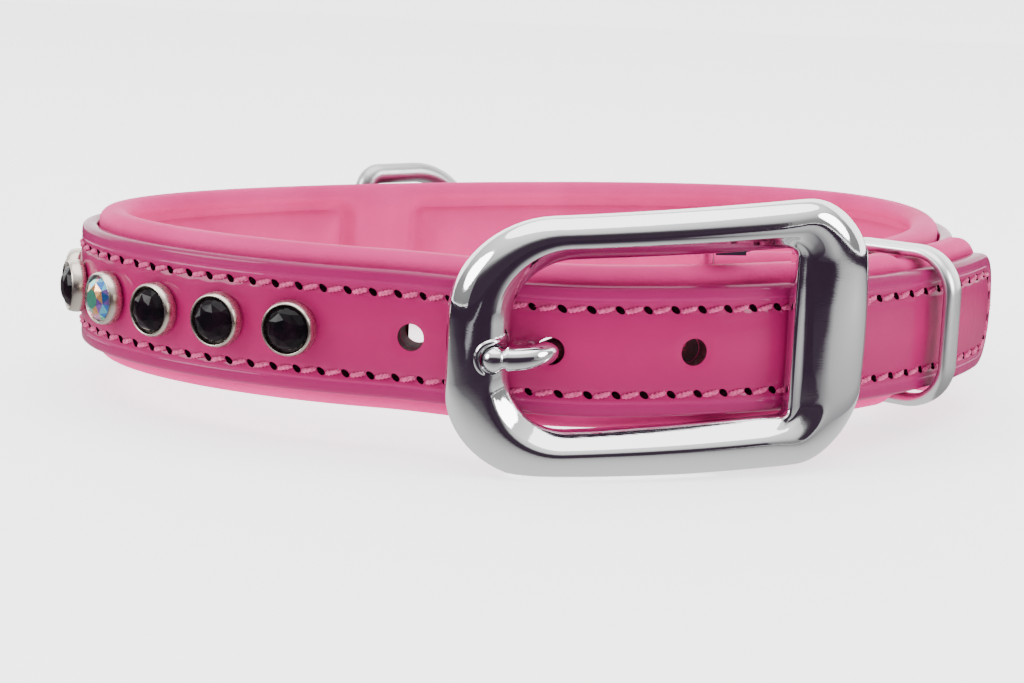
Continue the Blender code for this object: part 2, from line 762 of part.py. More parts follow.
def stand_collar(buckle, ring):
    """Leans the collar back until the buckle's lower rail and the lead ring reach the same surface."""
    for attempt in range(4):
        bpy.context.view_layer.update()
        front = lowest(buckle)
        back = lowest(ring)
        level = front.z + REST_FLAT
        STAND.rotation_euler.x += math.atan2(level - back.z, back.y - front.y)
    bpy.context.view_layer.update()
    STAND.location.z = -lowest(ring).z
    bpy.context.view_layer.update()


def flatten_rest(buckle):
    """Gives the buckle's lower rail the narrow flat that it stands on."""
    size = (WINDOW_LEFT + WINDOW_RIGHT + LEFT_BAR + RIGHT_PLATE) * 1.5
    depth = BUCKLE_HEIGHT / 4
    heel = LOOP.spot(0.0, 0.0)
    cutter = add_cutter("rest_flat_cutter", box_mesh("rest_flat", (size, size, depth)))
    cutter.parent = None
    cutter.location = (heel.x, heel.y, -depth / 2)
    boolean(buckle, cutter)


def centre_on_origin():
    """Puts the middle of the collar's box over the origin."""
    bpy.context.view_layer.update()
    graph = bpy.context.evaluated_depsgraph_get()
    corners = []
    for part in PARTS.objects:
        if part.type == "MESH":
            evaluated = part.evaluated_get(graph)
            mesh = evaluated.to_mesh()
            corners += [evaluated.matrix_world @ vertex.co for vertex in mesh.vertices]
            evaluated.to_mesh_clear()
    middle_x = (min(p.x for p in corners) + max(p.x for p in corners)) / 2
    middle_y = (min(p.y for p in corners) + max(p.y for p in corners)) / 2
    STAND.location.x -= middle_x
    STAND.location.y -= middle_y
    bpy.data.objects["rest_flat_cutter"].location.x -= middle_x
    bpy.data.objects["rest_flat_cutter"].location.y -= middle_y
    bpy.context.view_layer.update()


clear_scene()
PARTS = collection("leather dog collar")
CUTTERS = collection("cutters")
STAND = bpy.data.objects.new("collar_stand", None)
PARTS.objects.link(STAND)

PATENT = material("patent leather", (0.53, 0.05, 0.16), 0.18, coat=0.6)
SOFT = material("soft leather", (0.67, 0.17, 0.29), 0.45)
CHROME = material("chrome", (0.80, 0.80, 0.82), 0.06, metallic=1.0)
NICKEL = material("satin nickel", (0.62, 0.58, 0.54), 0.3, metallic=1.0)
JET = material("jet glass", (0.01, 0.01, 0.012), 0.05, coat=0.5)
RAINBOW = material("coated clear glass", (0.62, 0.75, 0.80), 0.05, coat=0.5)

strap_part = build_strap(PATENT)
lining_part = build_lining(SOFT)
for pin in hole_cutters():
    boolean(strap_part, pin)
    boolean(lining_part, pin)
tongue_space = add_cutter("tongue_room", tongue_mesh("tongue_room", SEAT_CLEARANCE))
boolean(strap_part, tongue_space)
boolean(lining_part, tongue_space)
buckle_part = build_buckle(CHROME)
build_tongue(CHROME)
build_keeper(CHROME)
ring_part = build_ring(CHROME)
build_studs(NICKEL, JET, RAINBOW)
stand_collar(buckle_part, ring_part)
flatten_rest(buckle_part)
boolean(buckle_part, tongue_space)
centre_on_origin()
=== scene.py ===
"""A buckled leather dog collar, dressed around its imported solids.

Everything is first built in the collar's own frame, round the middle plane of its strap, and then stood up
with the same tilt and place as the solids. Lengths along the strap are counted from the buckle's heel bar,
to the right.
"""

import math

import bmesh
import bpy
import numpy as np
from mathutils import Matrix, Vector
from mathutils.bvhtree import BVHTree


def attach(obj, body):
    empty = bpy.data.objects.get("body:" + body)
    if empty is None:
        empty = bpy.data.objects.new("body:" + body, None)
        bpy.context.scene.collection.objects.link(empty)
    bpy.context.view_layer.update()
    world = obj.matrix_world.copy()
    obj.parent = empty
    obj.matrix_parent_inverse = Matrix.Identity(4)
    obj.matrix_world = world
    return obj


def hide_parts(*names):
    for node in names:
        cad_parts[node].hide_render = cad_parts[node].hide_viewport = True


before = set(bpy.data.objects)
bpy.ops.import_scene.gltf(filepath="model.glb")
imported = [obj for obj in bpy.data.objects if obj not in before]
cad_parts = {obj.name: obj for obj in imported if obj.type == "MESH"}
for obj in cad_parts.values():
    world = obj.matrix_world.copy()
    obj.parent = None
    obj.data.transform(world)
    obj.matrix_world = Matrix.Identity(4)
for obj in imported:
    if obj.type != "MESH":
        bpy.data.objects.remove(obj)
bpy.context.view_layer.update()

# The stand: how the collar leans and where its own frame lies
STAND_TILT = -0.03326912
STAND_PLACE = Vector((0.0023835, 0.0073896, 0.0169830))
STAND = Matrix.Translation(STAND_PLACE) @ Matrix.Rotation(STAND_TILT, 4, "X")

# The neck loop, on the strap's outer face
LOOP_HALF_LENGTH = 0.082
LOOP_HALF_DEPTH = 0.054
LOOP_SWEEP = 0.0135
LOOP_YAW = math.radians(26.5)
HEEL_ANGLE = math.radians(-91)
TANGENT_STEP = 0.0008

# Strap and lining
STRAP_WIDTH = 0.020
STRAP_THICKNESS = 0.0026
LINING_WIDTH = 0.025
LINING_THICKNESS = 0.005
GAP = 0.0003
FREE_END = 0.0712
TIP_LENGTH = 0.0095
LINING_TIP_RIM = 0.0012
RISE_START = 0.054
RISE_LENGTH = 0.034
FOLD_BACK = 0.012
LINING_START = 0.0045
LINING_SETTLE = 0.008
HOLE_DIAMETER = 0.0042
HOLE_PITCH = 0.0204
TONGUE_HOLE = 0.0278
HOLES_BEFORE = 1
HOLES_AFTER = 2

# Buckle and tongue
BUCKLE_HEIGHT = 0.0414
BUCKLE_LEFT_HEIGHT = 0.0398
BUCKLE_DEPTH = 0.0052
BUCKLE_BOW = 0.0022
BUCKLE_SKEW = math.tan(math.radians(3.3))
BUCKLE_LIFT = 0.0013
WINDOW_LEFT = 0.0338
WINDOW_RIGHT = 0.0070
LEFT_BAR = 0.0092
RIGHT_PLATE = 0.0138
WINDOW_HEIGHT = 0.0260
WINDOW_RISE = 0.0004
OUTER_CORNER_LEFT = 0.0150
OUTER_CORNER_RIGHT = 0.0118
PLATE_BOW = 0.0015
WINDOW_CORNER_LEFT = 0.0090
WINDOW_CORNER_RIGHT = 0.0012
HEEL_RADIUS = 0.0016
LUG_LENGTH = 0.0060
LUG_WIDTH = 0.0030
LUG_ROUND = 0.0006
LUG_SINK = 0.3  # of the casting's depth
PLATE_BLEND_START = 0.003
PLATE_BLEND = 0.010
TONGUE_RADIUS = 0.0018
TONGUE_ROOT_RADIUS = 0.0011
TONGUE_TIP_RADIUS = 0.0020
TONGUE_DROOP = 0.0009
TONGUE_EYE_START = math.radians(-215)
TONGUE_EYE_TURN = math.radians(300)
SEAT_CLEARANCE = 0.00035
LIP_RADIUS = 0.0005
LIP_SPAN = (-62, 126)  # degrees round the ball, from its left side up
BALL_ANGLES = (-48, -35, -20, 0, 15, 30, 45, 58, 70, 80, 87)

# Keeper and lead ring
KEEPER_AT = 0.0405
KEEPER_BAND = 0.0044
KEEPER_THICKNESS = 0.0021
KEEPER_CORNER = 0.0036
KEEPER_FRONT_CORNER = 0.0068
KEEPER_STAND_OFF = 0.0020
KEEPER_SQUEEZE = 0.89
KEEPER_SQUEEZE_LENGTH = 0.0085
RING_FROM_STUDS = 0.0314
RING_WIRE = 0.0038
RING_BOW_RADIUS = 0.0138
RING_BOW_CENTRE = 0.0112
RING_CORNER = 0.0030
RING_LEAN = math.radians(8.5)
RING_BUMP_HALF_LENGTH = 0.0115

# Studs
STUD_COUNT = 9
STUD_FIRST = 0.0672
STUD_PITCH = 0.0126
SETTING_DIAMETER = 0.0088
SETTING_HEIGHT = 0.0026
STONE_DIAMETER = 0.0072
STONE_CROWN = 0.0016
STONE_BACK = 0.00067
CLEAR_STONES = (4, 8)
STONE_TURN = 0.35  # radians from stone to stone

# Relief of the patent strap
EDGE_ROUND = 0.0008
BACK_ROUND = 0.0004
BACK_INSET = 0.003
EDGE_TONE_AND_CREASE_HIGHLIGHT = 0.0022  # the darker band along the edges, with a painted highlight line at its inner border along the crease
CREASE_INSET = 0.0021
CREASE_WIDTH = 0.00020
CREASE_DEPTH = 0.00012
MARGIN_DROP = 0.00012
PANEL_DOME = 0.00028
SEAM_INSET = 0.0035
SEAM_WIDTH = 0.00055
SEAM_DEPTH = 0.00018
PUCKER_DEPTH = 0.00014
HOLE_DISH = 0.0008
HOLE_DISH_DEPTH = 0.00018
SEAM_START = 0.0075
STITCH_PITCH = 0.0040
THREAD_RADIUS = 0.00040
THREAD_SLANT = math.radians(16)
THREAD_SHARE = 0.66  # of the pitch that shows
THREAD_RISE = 0.00030
THREAD_DIP = 0.0002
THREAD_PLY = 0.22  # of its radius
SLIT_LENGTH = 0.00078
SLIT_WIDTH = 0.00047
SLIT_SINK = 0.0004
SLIT_SLANT = math.radians(-42)
SLIT_SIDES = 12

# Relief of the lining
ROLL_RADIUS = 0.0021
PANEL_RIM = 0.0036  # from the lining's edge to the inner panel
PANEL_CORNER = 0.0026
PANEL_SINK = 0.0017
PANEL_SEAM_WIDTH = 0.0009
PANEL_SEAM_DEPTH = 0.0016
COLUMN_HALF = 0.0073  # the smooth column behind the lead ring
COLUMN_PUFF = 0.0014
COLUMN_FADE = 0.004
PANEL_END = 0.010
PANEL_SLOPE = 0.0012
PANEL_PILLOW = 0.006

# Camera, fitted to the photograph in the collar's own frame
IMAGE_WIDTH = 1024
FOCAL_PIXELS = 2320
SENSOR_WIDTH = 36.0
CAMERA_DISTANCE = 0.418
CAMERA_ELEVATION = math.radians(10.33)
CAMERA_ROLL = math.radians(-2.44)
LOOK_X = -0.00574
LOOK_Z = -0.0115

# Light: the floor's own glow, the panels' tones and the brightness of the air by height
FLOOR_GLOW = 1.6
FRONT_CARD_STOPS = (
    (0.00, (0.052, 0.034, 0.054)),
    (0.12, (0.09, 0.075, 0.09)),
    (0.30, (0.50, 0.50, 0.50)),
)
FLOOR_CARD_SCALE = (1 / 0.20, 1 / 0.17, 1.0)  # over these half widths it brightens
FLOOR_CARD_STOPS = (
    (0.00, (0.040, 0.022, 0.042)),
    (0.20, (0.055, 0.036, 0.058)),
    (0.38, (0.16, 0.15, 0.16)),
    (0.52, (0.55, 0.55, 0.55)),
    (0.62, (1.0, 1.0, 1.0)),
)
STREAK_CARD_STOPS = (
    (0.00, (0.40, 0.40, 0.42)),
    (1.00, (0.40, 0.40, 0.42)),
)
SIDE_CARD_SCALE = (1 / 0.18, 1 / 0.16, 1.0)
SIDE_CARD_STOPS = (
    (0.00, (0.055, 0.036, 0.058)),
    (0.30, (0.60, 0.60, 0.60)),
    (1.00, (1.00, 1.00, 1.00)),
)
AIR_STOPS = (
    (0.00, (0.18, 0.18, 0.18)),
    (0.25, (0.24, 0.24, 0.24)),
    (0.50, (0.60, 0.60, 0.60)),
    (0.80, (0.95, 0.95, 0.95)),
    (1.00, (1.00, 1.00, 1.00)),
)
AIR_STRENGTH = 1.5

# The tongue's line: before the heel bar and out, as shares of the tongue hole's distance and the free
# end's rise
TONGUE_ROWS = (
    (0.245, -0.21),
    (0.525, -0.22),
    (0.695, -0.15),
    (0.825, 0.10),
    (0.935, 0.49),
    (1.01, 0.85),
    (1.07, 1.08),
    (1.12, 1.19),
    (1.17, 1.22),
    (1.215, 1.22),
)

# Each section row of the casting: across from the window and out from its back, as shares, on the rails
# and left bar and on the right plate
CASTING_ROWS = (
    ((0.00, 0.12), (0.00, 0.12)),
    ((0.00, 0.24), (0.00, 0.30)),
    ((0.005, 0.36), (0.005, 0.50)),
    ((0.09, 0.53), (0.035, 0.64)),
    ((0.19, 0.70), (0.08, 0.67)),
    ((0.27, 0.835), (0.15, 0.69)),
    ((0.335, 0.93), (0.26, 0.82)),
    ((0.45, 1.00), (0.46, 0.98)),
    ((0.66, 0.965), (0.70, 0.97)),
    ((0.85, 0.79), (0.87, 0.82)),
    ((0.975, 0.50), (0.98, 0.52)),
    ((0.995, 0.24), (0.995, 0.24)),
    ((0.94, 0.08), (0.94, 0.08)),
    ((0.80, 0.00), (0.80, 0.00)),
    ((0.40, 0.00), (0.40, 0.00)),
    ((0.14, 0.00), (0.14, 0.00)),
    ((0.03, 0.04), (0.03, 0.04)),
)

# Each ring of a stud's setting: radius and height, as shares of its own
SETTING_ROWS = (
    (0.00, 0.00),
    (0.86, 0.00),
    (0.95, 0.06),
    (0.99, 0.20),
    (1.00, 0.42),
    (0.985, 0.66),
    (0.96, 0.84),
    (0.925, 0.95),
    (0.895, 0.99),
    (0.87, 0.97),
    (0.85, 0.90),
    (0.845, 0.42),
    (0.00, 0.42),
)

# Insets from the strap's edge with the steps to the next: fine at the round, the crease and the seam
STRAP_INSETS = (
    (0.0, 0.0008, 6),
    (0.0008, 0.0018, 5),
    (0.0018, 0.0025, 7),
    (0.0025, 0.0046, 10),
    (0.0046, 0.010, 8),
)

FULL_THICKNESS = STRAP_THICKNESS + GAP + LINING_THICKNESS
FREE_END_RISE = FULL_THICKNESS + GAP
HEEL_OUT = -(STRAP_THICKNESS + GAP + HEEL_RADIUS)
FOLD_RADIUS = HEEL_RADIUS + GAP + STRAP_THICKNESS / 2
FOLD_EXTRA = 2 * FOLD_RADIUS - STRAP_THICKNESS - GAP
RING_BUMP = RING_WIRE + 2 * GAP
HALF_STRAP = STRAP_WIDTH / 2
HALF_LINING = LINING_WIDTH / 2


# The loop and its layers


def smooth(value):
    """An even ease from 0 to 1."""
    value = np.clip(value, 0.0, 1.0)
    return value * value * (3 - 2 * value)


def unit(vectors):
    """Vectors brought to a length of one."""
    return vectors / np.linalg.norm(vectors, axis=-1, keepdims=True)


def loop_plan(angle):
    """The loop's plan curve by angle."""
    x = LOOP_HALF_LENGTH * np.cos(angle)
    y = LOOP_HALF_DEPTH * np.sin(angle) + LOOP_SWEEP * (np.cos(angle) ** 2 - 0.5)
    cos, sin = math.cos(LOOP_YAW), math.sin(LOOP_YAW)
    return np.stack([cos * x - sin * y, sin * x + cos * y], axis=-1)


LOOP_ANGLES = HEEL_ANGLE + np.linspace(0.0, math.tau, 5761)
LOOP_POINTS = loop_plan(LOOP_ANGLES)
LOOP_LENGTHS = np.concatenate([[0.0], np.cumsum(np.linalg.norm(np.diff(LOOP_POINTS, axis=0), axis=1))])
TURN = float(LOOP_LENGTHS[-1])
TIP_AT = TURN + FREE_END
RING_AT = TURN - STUD_FIRST - (STUD_COUNT - 1) * STUD_PITCH - RING_FROM_STUDS


def plan_point(along):
    """The loop's points in plan, by length along it."""
    along = np.mod(along, TURN)
    return np.stack([np.interp(along, LOOP_LENGTHS, LOOP_POINTS[:, axis]) for axis in (0, 1)], axis=-1)


def outward(along):
    """The loop's outward direction in plan."""
    along = np.asarray(along)
    step = unit(plan_point(along + TANGENT_STEP) - plan_point(along - TANGENT_STEP))
    return np.stack([step[..., 1], -step[..., 0]], axis=-1)


def spot(along, out, up=0.0):
    """Points in the collar's own frame, by length along the loop, distance out and height."""
    along, out, up = np.broadcast_arrays(*(np.asarray(v, dtype=float) for v in (along, out, up)))
    plan = plan_point(along) + outward(along) * out[..., None]
    return np.concatenate([plan, up[..., None]], axis=-1)


def loop_frame(along, out, up=0.0):
    """A matrix whose X runs along the loop, Y points inward and Z up."""
    normal = outward(float(along))
    axes = Matrix(((-normal[1], -normal[0], 0.0), (normal[0], -normal[1], 0.0), (0.0, 0.0, 1.0))).to_4x4()
    axes.translation = Vector(spot(along, out, up))
    return axes


def ring_bump(along):
    """The strap's rise over the lead ring's bar."""
    return RING_BUMP * smooth(1 - np.abs(along - RING_AT) / RING_BUMP_HALF_LENGTH)


def face_out(along):
    """How far the strap's outer face lies out from the loop."""
    along = np.asarray(along, dtype=float)
    return FREE_END_RISE * smooth((along - (TURN - RISE_START)) / RISE_LENGTH) + ring_bump(along)


def squeeze(along):
    """The lining's section under the keeper, as a share of its full section."""
    steepness = 1.6
    near = np.minimum(np.abs(along - KEEPER_AT), np.abs(along - TURN - KEEPER_AT)) / KEEPER_SQUEEZE_LENGTH
    return 1 - (1 - KEEPER_SQUEEZE) * smooth(steepness * (1 - near))


def lining_out(along):
    """How far the middle of the lining lies out from the loop."""
    along = np.asarray(along, dtype=float)
    behind_fold = FOLD_EXTRA * (1 - smooth(along / FOLD_BACK))
    behind_end = (STRAP_THICKNESS + GAP) * (1 - smooth((along - FOLD_BACK - GAP) / LINING_SETTLE))
    outer = face_out(along) - ring_bump(along) - STRAP_THICKNESS - GAP - behind_fold - behind_end
    return outer - LINING_THICKNESS * squeeze(along) / 2


# Materials


def principled(name, color, roughness, **sockets):
    """A material and its shader."""
    made = bpy.data.materials.new(name)
    made.use_nodes = True
    shader = made.node_tree.nodes["Principled BSDF"]
    shader.inputs["Base Color"].default_value = (*color, 1.0)
    shader.inputs["Roughness"].default_value = roughness
    for socket, value in sockets.items():
        shader.inputs[socket.replace("_", " ")].default_value = value
    return made, shader


def add_node(material, kind, **values):
    """A node with its settings and socket values."""
    new = material.node_tree.nodes.new(kind)
    for name, value in values.items():
        if hasattr(new, name):
            setattr(new, name, value)
        else:
            new.inputs[name.replace("_", " ")].default_value = value
    return new


def link(material, output, socket):
    material.node_tree.links.new(output, socket)


def noise(material, scale, detail=2.0, stretch=None):
    """A noise texture in the object's own metres."""
    place = add_node(material, "ShaderNodeTexCoord")
    texture = add_node(material, "ShaderNodeTexNoise", Scale=scale, Detail=detail, Roughness=0.5)
    source = place.outputs["Object"]
    if stretch:
        mapping = add_node(material, "ShaderNodeMapping", Scale=stretch)
        link(material, source, mapping.inputs["Vector"])
        source = mapping.outputs["Vector"]
    link(material, source, texture.inputs["Vector"])
    return texture.outputs["Fac"]


def ramp(material, source, stops):
    """A color ramp through stops of a place and a color."""
    colors = add_node(material, "ShaderNodeValToRGB")
    band = colors.color_ramp
    while len(band.elements) < len(stops):
        band.elements.new(0.5)
    for element, (place, color) in zip(band.elements, stops):
        element.position = place
        element.color = (*color, 1.0)
    link(material, source, colors.inputs["Fac"])
    return colors.outputs["Color"]


def bump(material, shader, source, distance, before=None):
    """A bump of this height in metres on the shader's normal."""
    new = add_node(material, "ShaderNodeBump", Strength=1.0, Distance=distance)
    link(material, source, new.inputs["Height"])
    if before:
        link(material, before.outputs["Normal"], new.inputs["Normal"])
    link(material, new.outputs["Normal"], shader.inputs["Normal"])
    return new


def remap(material, source, low, high):
    """A value mapped to a narrower range."""
    new = add_node(material, "ShaderNodeMapRange", To_Min=low, To_Max=high)
    link(material, source, new.inputs["Value"])
    return new.outputs["Result"]


def patent_leather():
    """Glossy magenta patent leather, deeper towards its edges, with a painted highlight line along each edge
    crease.
    """
    made, shader = principled(
        "patent leather", (0.34, 0.008, 0.085), 0.40, Coat_Weight=0.42, Coat_Roughness=0.05, Coat_IOR=1.45,
        Specular_IOR_Level=0.1
    )
    section = add_node(made, "ShaderNodeUVMap", uv_map="section")
    parts = add_node(made, "ShaderNodeSeparateXYZ")
    link(made, section.outputs["UV"], parts.inputs["Vector"])
    edge = EDGE_TONE_AND_CREASE_HIGHLIGHT / HALF_STRAP
    # Colour across the strap: a darker band at the edges, then a lighter stop at its inner border that is a
    # painted highlight along the crease
    stops = (
        (0.0, (0.235, 0.005, 0.073)),
        (edge * 0.75, (0.24, 0.006, 0.077)),
        (edge * 0.97, (0.29, 0.010, 0.096)),
        (edge * 1.25, (0.255, 0.005, 0.073)),
        (1.0, (0.295, 0.005, 0.079)),
    )
    across = ramp(made, parts.outputs["Y"], stops)
    mottle = add_node(made, "ShaderNodeMix", data_type="RGBA", blend_type="MULTIPLY")
    mottle.inputs[0].default_value = 0.10
    link(made, across, mottle.inputs[6])
    link(made, noise(made, 90.0, 3.0), mottle.inputs[7])
    link(made, mottle.outputs[2], shader.inputs["Base Color"])
    first = bump(made, shader, noise(made, 260.0, 2.0), 0.00010)
    bump(made, shader, noise(made, 2600.0, 2.0), 0.000006, before=first)
    return made


def soft_leather():
    """Matt pink lining leather with a fine grain."""
    made, shader = principled("soft leather", (0.66, 0.05, 0.19), 0.60, Specular_IOR_Level=0.02)
    tone = ramp(made, noise(made, 60.0, 4.0), ((0.3, (0.52, 0.030, 0.160)), (0.7, (0.62, 0.042, 0.205))))
    link(made, tone, shader.inputs["Base Color"])
    link(made, remap(made, noise(made, 140.0), 0.38, 0.55), shader.inputs["Roughness"])
    cells = add_node(made, "ShaderNodeTexVoronoi", Scale=1500.0)
    place = add_node(made, "ShaderNodeTexCoord")
    link(made, place.outputs["Object"], cells.inputs["Vector"])
    first = bump(made, shader, cells.outputs["Distance"], 0.000035)
    bump(made, shader, noise(made, 350.0, 3.0), 0.00006, before=first)
    return made


def chrome():
    """Polished chrome with fine wear."""
    made, shader = principled("chrome", (0.90, 0.90, 0.92), 0.05, Metallic=1.0)
    link(made, remap(made, noise(made, 420.0, 5.0), 0.02, 0.11), shader.inputs["Roughness"])
    first = bump(made, shader, noise(made, 110.0, 2.0), 0.00005)
    scratches = noise(made, 5000.0, 1.0, stretch=(0.06, 1.0, 1.0))
    bump(made, shader, scratches, 0.0000022, before=first)
    return made


def satin_metal(name, color, roughness, gloss, grain):
    """A softer metal: its gloss by a noise scale and a range, its grain by a scale, a detail and a height."""
    made, shader = principled(name, color, roughness, Metallic=1.0)
    gloss_scale, low, high = gloss
    scale, detail, height = grain
    link(made, remap(made, noise(made, gloss_scale, 4.0), low, high), shader.inputs["Roughness"])
    bump(made, shader, noise(made, scale, detail), height)
    return made


def toned(name, color, roughness, patches, tones, grain=None, **sockets):
    """A material whose color runs between tones over patches of noise, with a grain where one is given."""
    made, shader = principled(name, color, roughness, **sockets)
    link(made, ramp(made, noise(made, *patches), tones), shader.inputs["Base Color"])
    if grain:
        scale, detail, height = grain
        bump(made, shader, noise(made, scale, detail), height)
    return made


def rainbow_glass():
    """Clear cut glass with a rainbow coating, one tint to a facet."""
    made, shader = principled("coated glass", (0.7, 0.8, 0.85), 0.10, IOR=1.6, Coat_Weight=0.6, Metallic=0.85)
    tints = add_node(made, "ShaderNodeVertexColor", layer_name="tint")
    link(made, tints.outputs["Color"], shader.inputs["Base Color"])
    return made


# Mesh helpers


def add_object(name, data):
    """A new object in the scene."""
    made = bpy.data.objects.new(name, data)
    bpy.context.scene.collection.objects.link(made)
    return made


def add_piece(name, mesh, look):
    """A piece of the collar, stood up and shaded smooth."""
    mesh.transform(STAND)
    mesh.materials.clear()
    mesh.materials.append(look)
    mesh.shade_smooth()
    return add_object(name, mesh)


def new_mesh(name, points, faces):
    """A mesh from an array of points."""
    mesh = bpy.data.meshes.new(name)
    mesh.from_pydata(np.reshape(points, (-1, 3)).tolist(), [], faces)
    return mesh


def to_mesh(work, name):
    """A mesh from a working mesh, which is freed."""
    mesh = bpy.data.meshes.new(name)
    work.to_mesh(mesh)
    work.free()
    return mesh


def grid_mesh(name, points, cyclic_rows=False, uvs=None):
    """A mesh of rows of closed rings of points, capped unless the rows close too."""
    rows, ring = points.shape[:2]
    index = np.arange(rows * ring).reshape(rows, ring)
    first = index if cyclic_rows else index[:-1]
    after = np.roll(index, -1, axis=0) if cyclic_rows else index[1:]
    quads = np.stack([first, np.roll(first, -1, axis=1), np.roll(after, -1, axis=1), after], axis=-1)
    faces = quads.reshape(-1, 4).tolist()
    if not cyclic_rows:
        faces += [index[0][::-1].tolist(), index[-1].tolist()]
    mesh = new_mesh(name, points, faces)
    if uvs is not None:
        layer = mesh.uv_layers.new(name="section")
        corners = np.empty(len(mesh.loops), dtype=np.int32)
        mesh.loops.foreach_get("vertex_index", corners)
        layer.data.foreach_set("uv", uvs.reshape(-1, 2)[corners].ravel().astype(np.float32))
    return clean(mesh)


def clean(mesh, weld=0.000004):
    """Welds what coincides and turns the faces outward."""
    work = bmesh.new()
    work.from_mesh(mesh)
    bmesh.ops.remove_doubles(work, verts=work.verts, dist=weld)
    bmesh.ops.dissolve_degenerate(work, edges=work.edges, dist=weld)
    bmesh.ops.recalc_face_normals(work, faces=work.faces)
    work.to_mesh(mesh)
    work.free()
    return mesh


def curve_points(rows, steps, cyclic=False):
    """A smooth line through rows of numbers, with this many steps from row to row."""
    rows = np.asarray(rows, dtype=float)
    count = len(rows)
    spans = count if cyclic else count - 1
    line = []
    for span in range(spans):
        picks = [span - 1, span, span + 1, span + 2]
        picks = [p % count for p in picks] if cyclic else [min(max(p, 0), count - 1) for p in picks]
        a, b, c, d = rows[picks]
        for step in range(steps):
            t = step / steps
            turn = 2 * b + (c - a) * t + (2 * a - 5 * b + 4 * c - d) * t**2 + (3 * b - a - 3 * c + d) * t**3
            line.append(turn / 2)
    if not cyclic:
        line.append(rows[-1])
    return np.array(line)


def tube_points(path, radii, sides, cyclic=False):
    """Rings of points round a path that keeps no great twist."""
    path = np.asarray(path, dtype=float)
    if cyclic:
        tangents = np.roll(path, -1, axis=0) - np.roll(path, 1, axis=0)
    else:
        tangents = np.gradient(path, axis=0)
    tangents = unit(tangents)
    up = np.array((0.0, 0.0, 1.0))
    if np.abs(tangents @ up).max() > 0.95:
        up = np.linalg.svd(path - path.mean(axis=0), full_matrices=False)[2][2]
    side = unit(np.cross(tangents, up))
    top = np.cross(side, tangents)
    angles = math.tau * np.arange(sides) / sides
    around = np.cos(angles)[None, :, None] * side[:, None] + np.sin(angles)[None, :, None] * top[:, None]
    return path[:, None] + around * np.asarray(radii)[:, None, None]


def joined(name, meshes):
    """Several meshes in one."""
    work = bmesh.new()
    for mesh in meshes:
        work.from_mesh(mesh)
        bpy.data.meshes.remove(mesh)
    return to_mesh(work, name)


def cut(piece, cutters, look):
    """Cuts a piece with cutter meshes, whose faces take a look of their own."""
    for number, mesh in enumerate(cutters):
        tool = add_piece(f"cutter_{number}", mesh, look)
        change = piece.modifiers.new("Cut", "BOOLEAN")
        change.operation = "DIFFERENCE"
        change.solver = "EXACT"
        change.material_mode = "TRANSFER"
        change.object = tool
    evaluated = piece.evaluated_get(bpy.context.evaluated_depsgraph_get())
    shape = bpy.data.meshes.new_from_object(evaluated)
    for change in list(piece.modifiers):
        tool = change.object
        piece.modifiers.remove(change)
        bpy.data.objects.remove(tool, do_unlink=True)
    piece.data = shape
    shape.set_sharp_from_angle(angle=math.radians(50))
    return piece


def cylinder_mesh(name, radius, length, sides):
    """A round bar on Z."""
    work = bmesh.new()
    bmesh.ops.create_cone(work, cap_ends=True, segments=sides, radius1=radius, radius2=radius, depth=length)
    return to_mesh(work, name)


def box_mesh(name, size, rounding=0.0):
    """A box with rounded edges where a rounding is given."""
    work = bmesh.new()
    bmesh.ops.create_cube(work, size=1.0)
    bmesh.ops.scale(work, vec=size, verts=work.verts)
    if rounding:
        bmesh.ops.bevel(work, geom=work.edges, offset=rounding, segments=4, affect="EDGES")
    return to_mesh(work, name)


# Strap


def hole_places():
    """The belt holes along the strap."""
    return [TURN - TONGUE_HOLE + number * HOLE_PITCH for number in range(-HOLES_BEFORE, HOLES_AFTER + 1)]


def seam_length():
    """The straight length of one row of the seam."""
    return TIP_AT - TIP_LENGTH - SEAM_START


def ridge(away, width):
    """A bell shaped ridge of height one."""
    return np.exp(-((away / width) ** 2))


def strap_relief(along, inset, up):
    """How far the patent face stands out from its plain plane."""
    edge = np.clip(EDGE_ROUND - inset, 0.0, EDGE_ROUND)
    height = -(EDGE_ROUND - np.sqrt(np.maximum(EDGE_ROUND**2 - edge**2, 0.0)))
    height = height - MARGIN_DROP * smooth((CREASE_INSET - inset) / CREASE_INSET)
    height = height - CREASE_DEPTH * ridge(inset - CREASE_INSET, CREASE_WIDTH)
    height = height - SEAM_DEPTH * ridge(inset - SEAM_INSET, SEAM_WIDTH)
    inner = np.clip((inset - SEAM_INSET) / (HALF_STRAP - SEAM_INSET), 0.0, 1.0)
    height = height + PANEL_DOME * (1 - (1 - inner) ** 2)
    phase = math.tau * (along - SEAM_START) / stitch_pitch()
    straight = (along > SEAM_START) & (along < TIP_AT - TIP_LENGTH)
    pull = ridge(inset - SEAM_INSET, 1.6 * SEAM_WIDTH) * (0.5 + 0.5 * np.cos(phase))
    height = height - np.where(straight, PUCKER_DEPTH * pull, 0.0)
    for place in hole_places():
        away = np.hypot(along - place, up) - HOLE_DIAMETER / 2
        height = height - HOLE_DISH_DEPTH * smooth(1 - away / HOLE_DISH)
    return height


def stitch_pitch():
    """The pitch that fits whole stitches on the straight seam."""
    return seam_length() / round(seam_length() / STITCH_PITCH)


def graded(stops):
    """Numbers from a list of ends and step counts."""
    line = []
    for start, end, steps in stops:
        line += list(np.linspace(start, end, steps, endpoint=False))
    return line


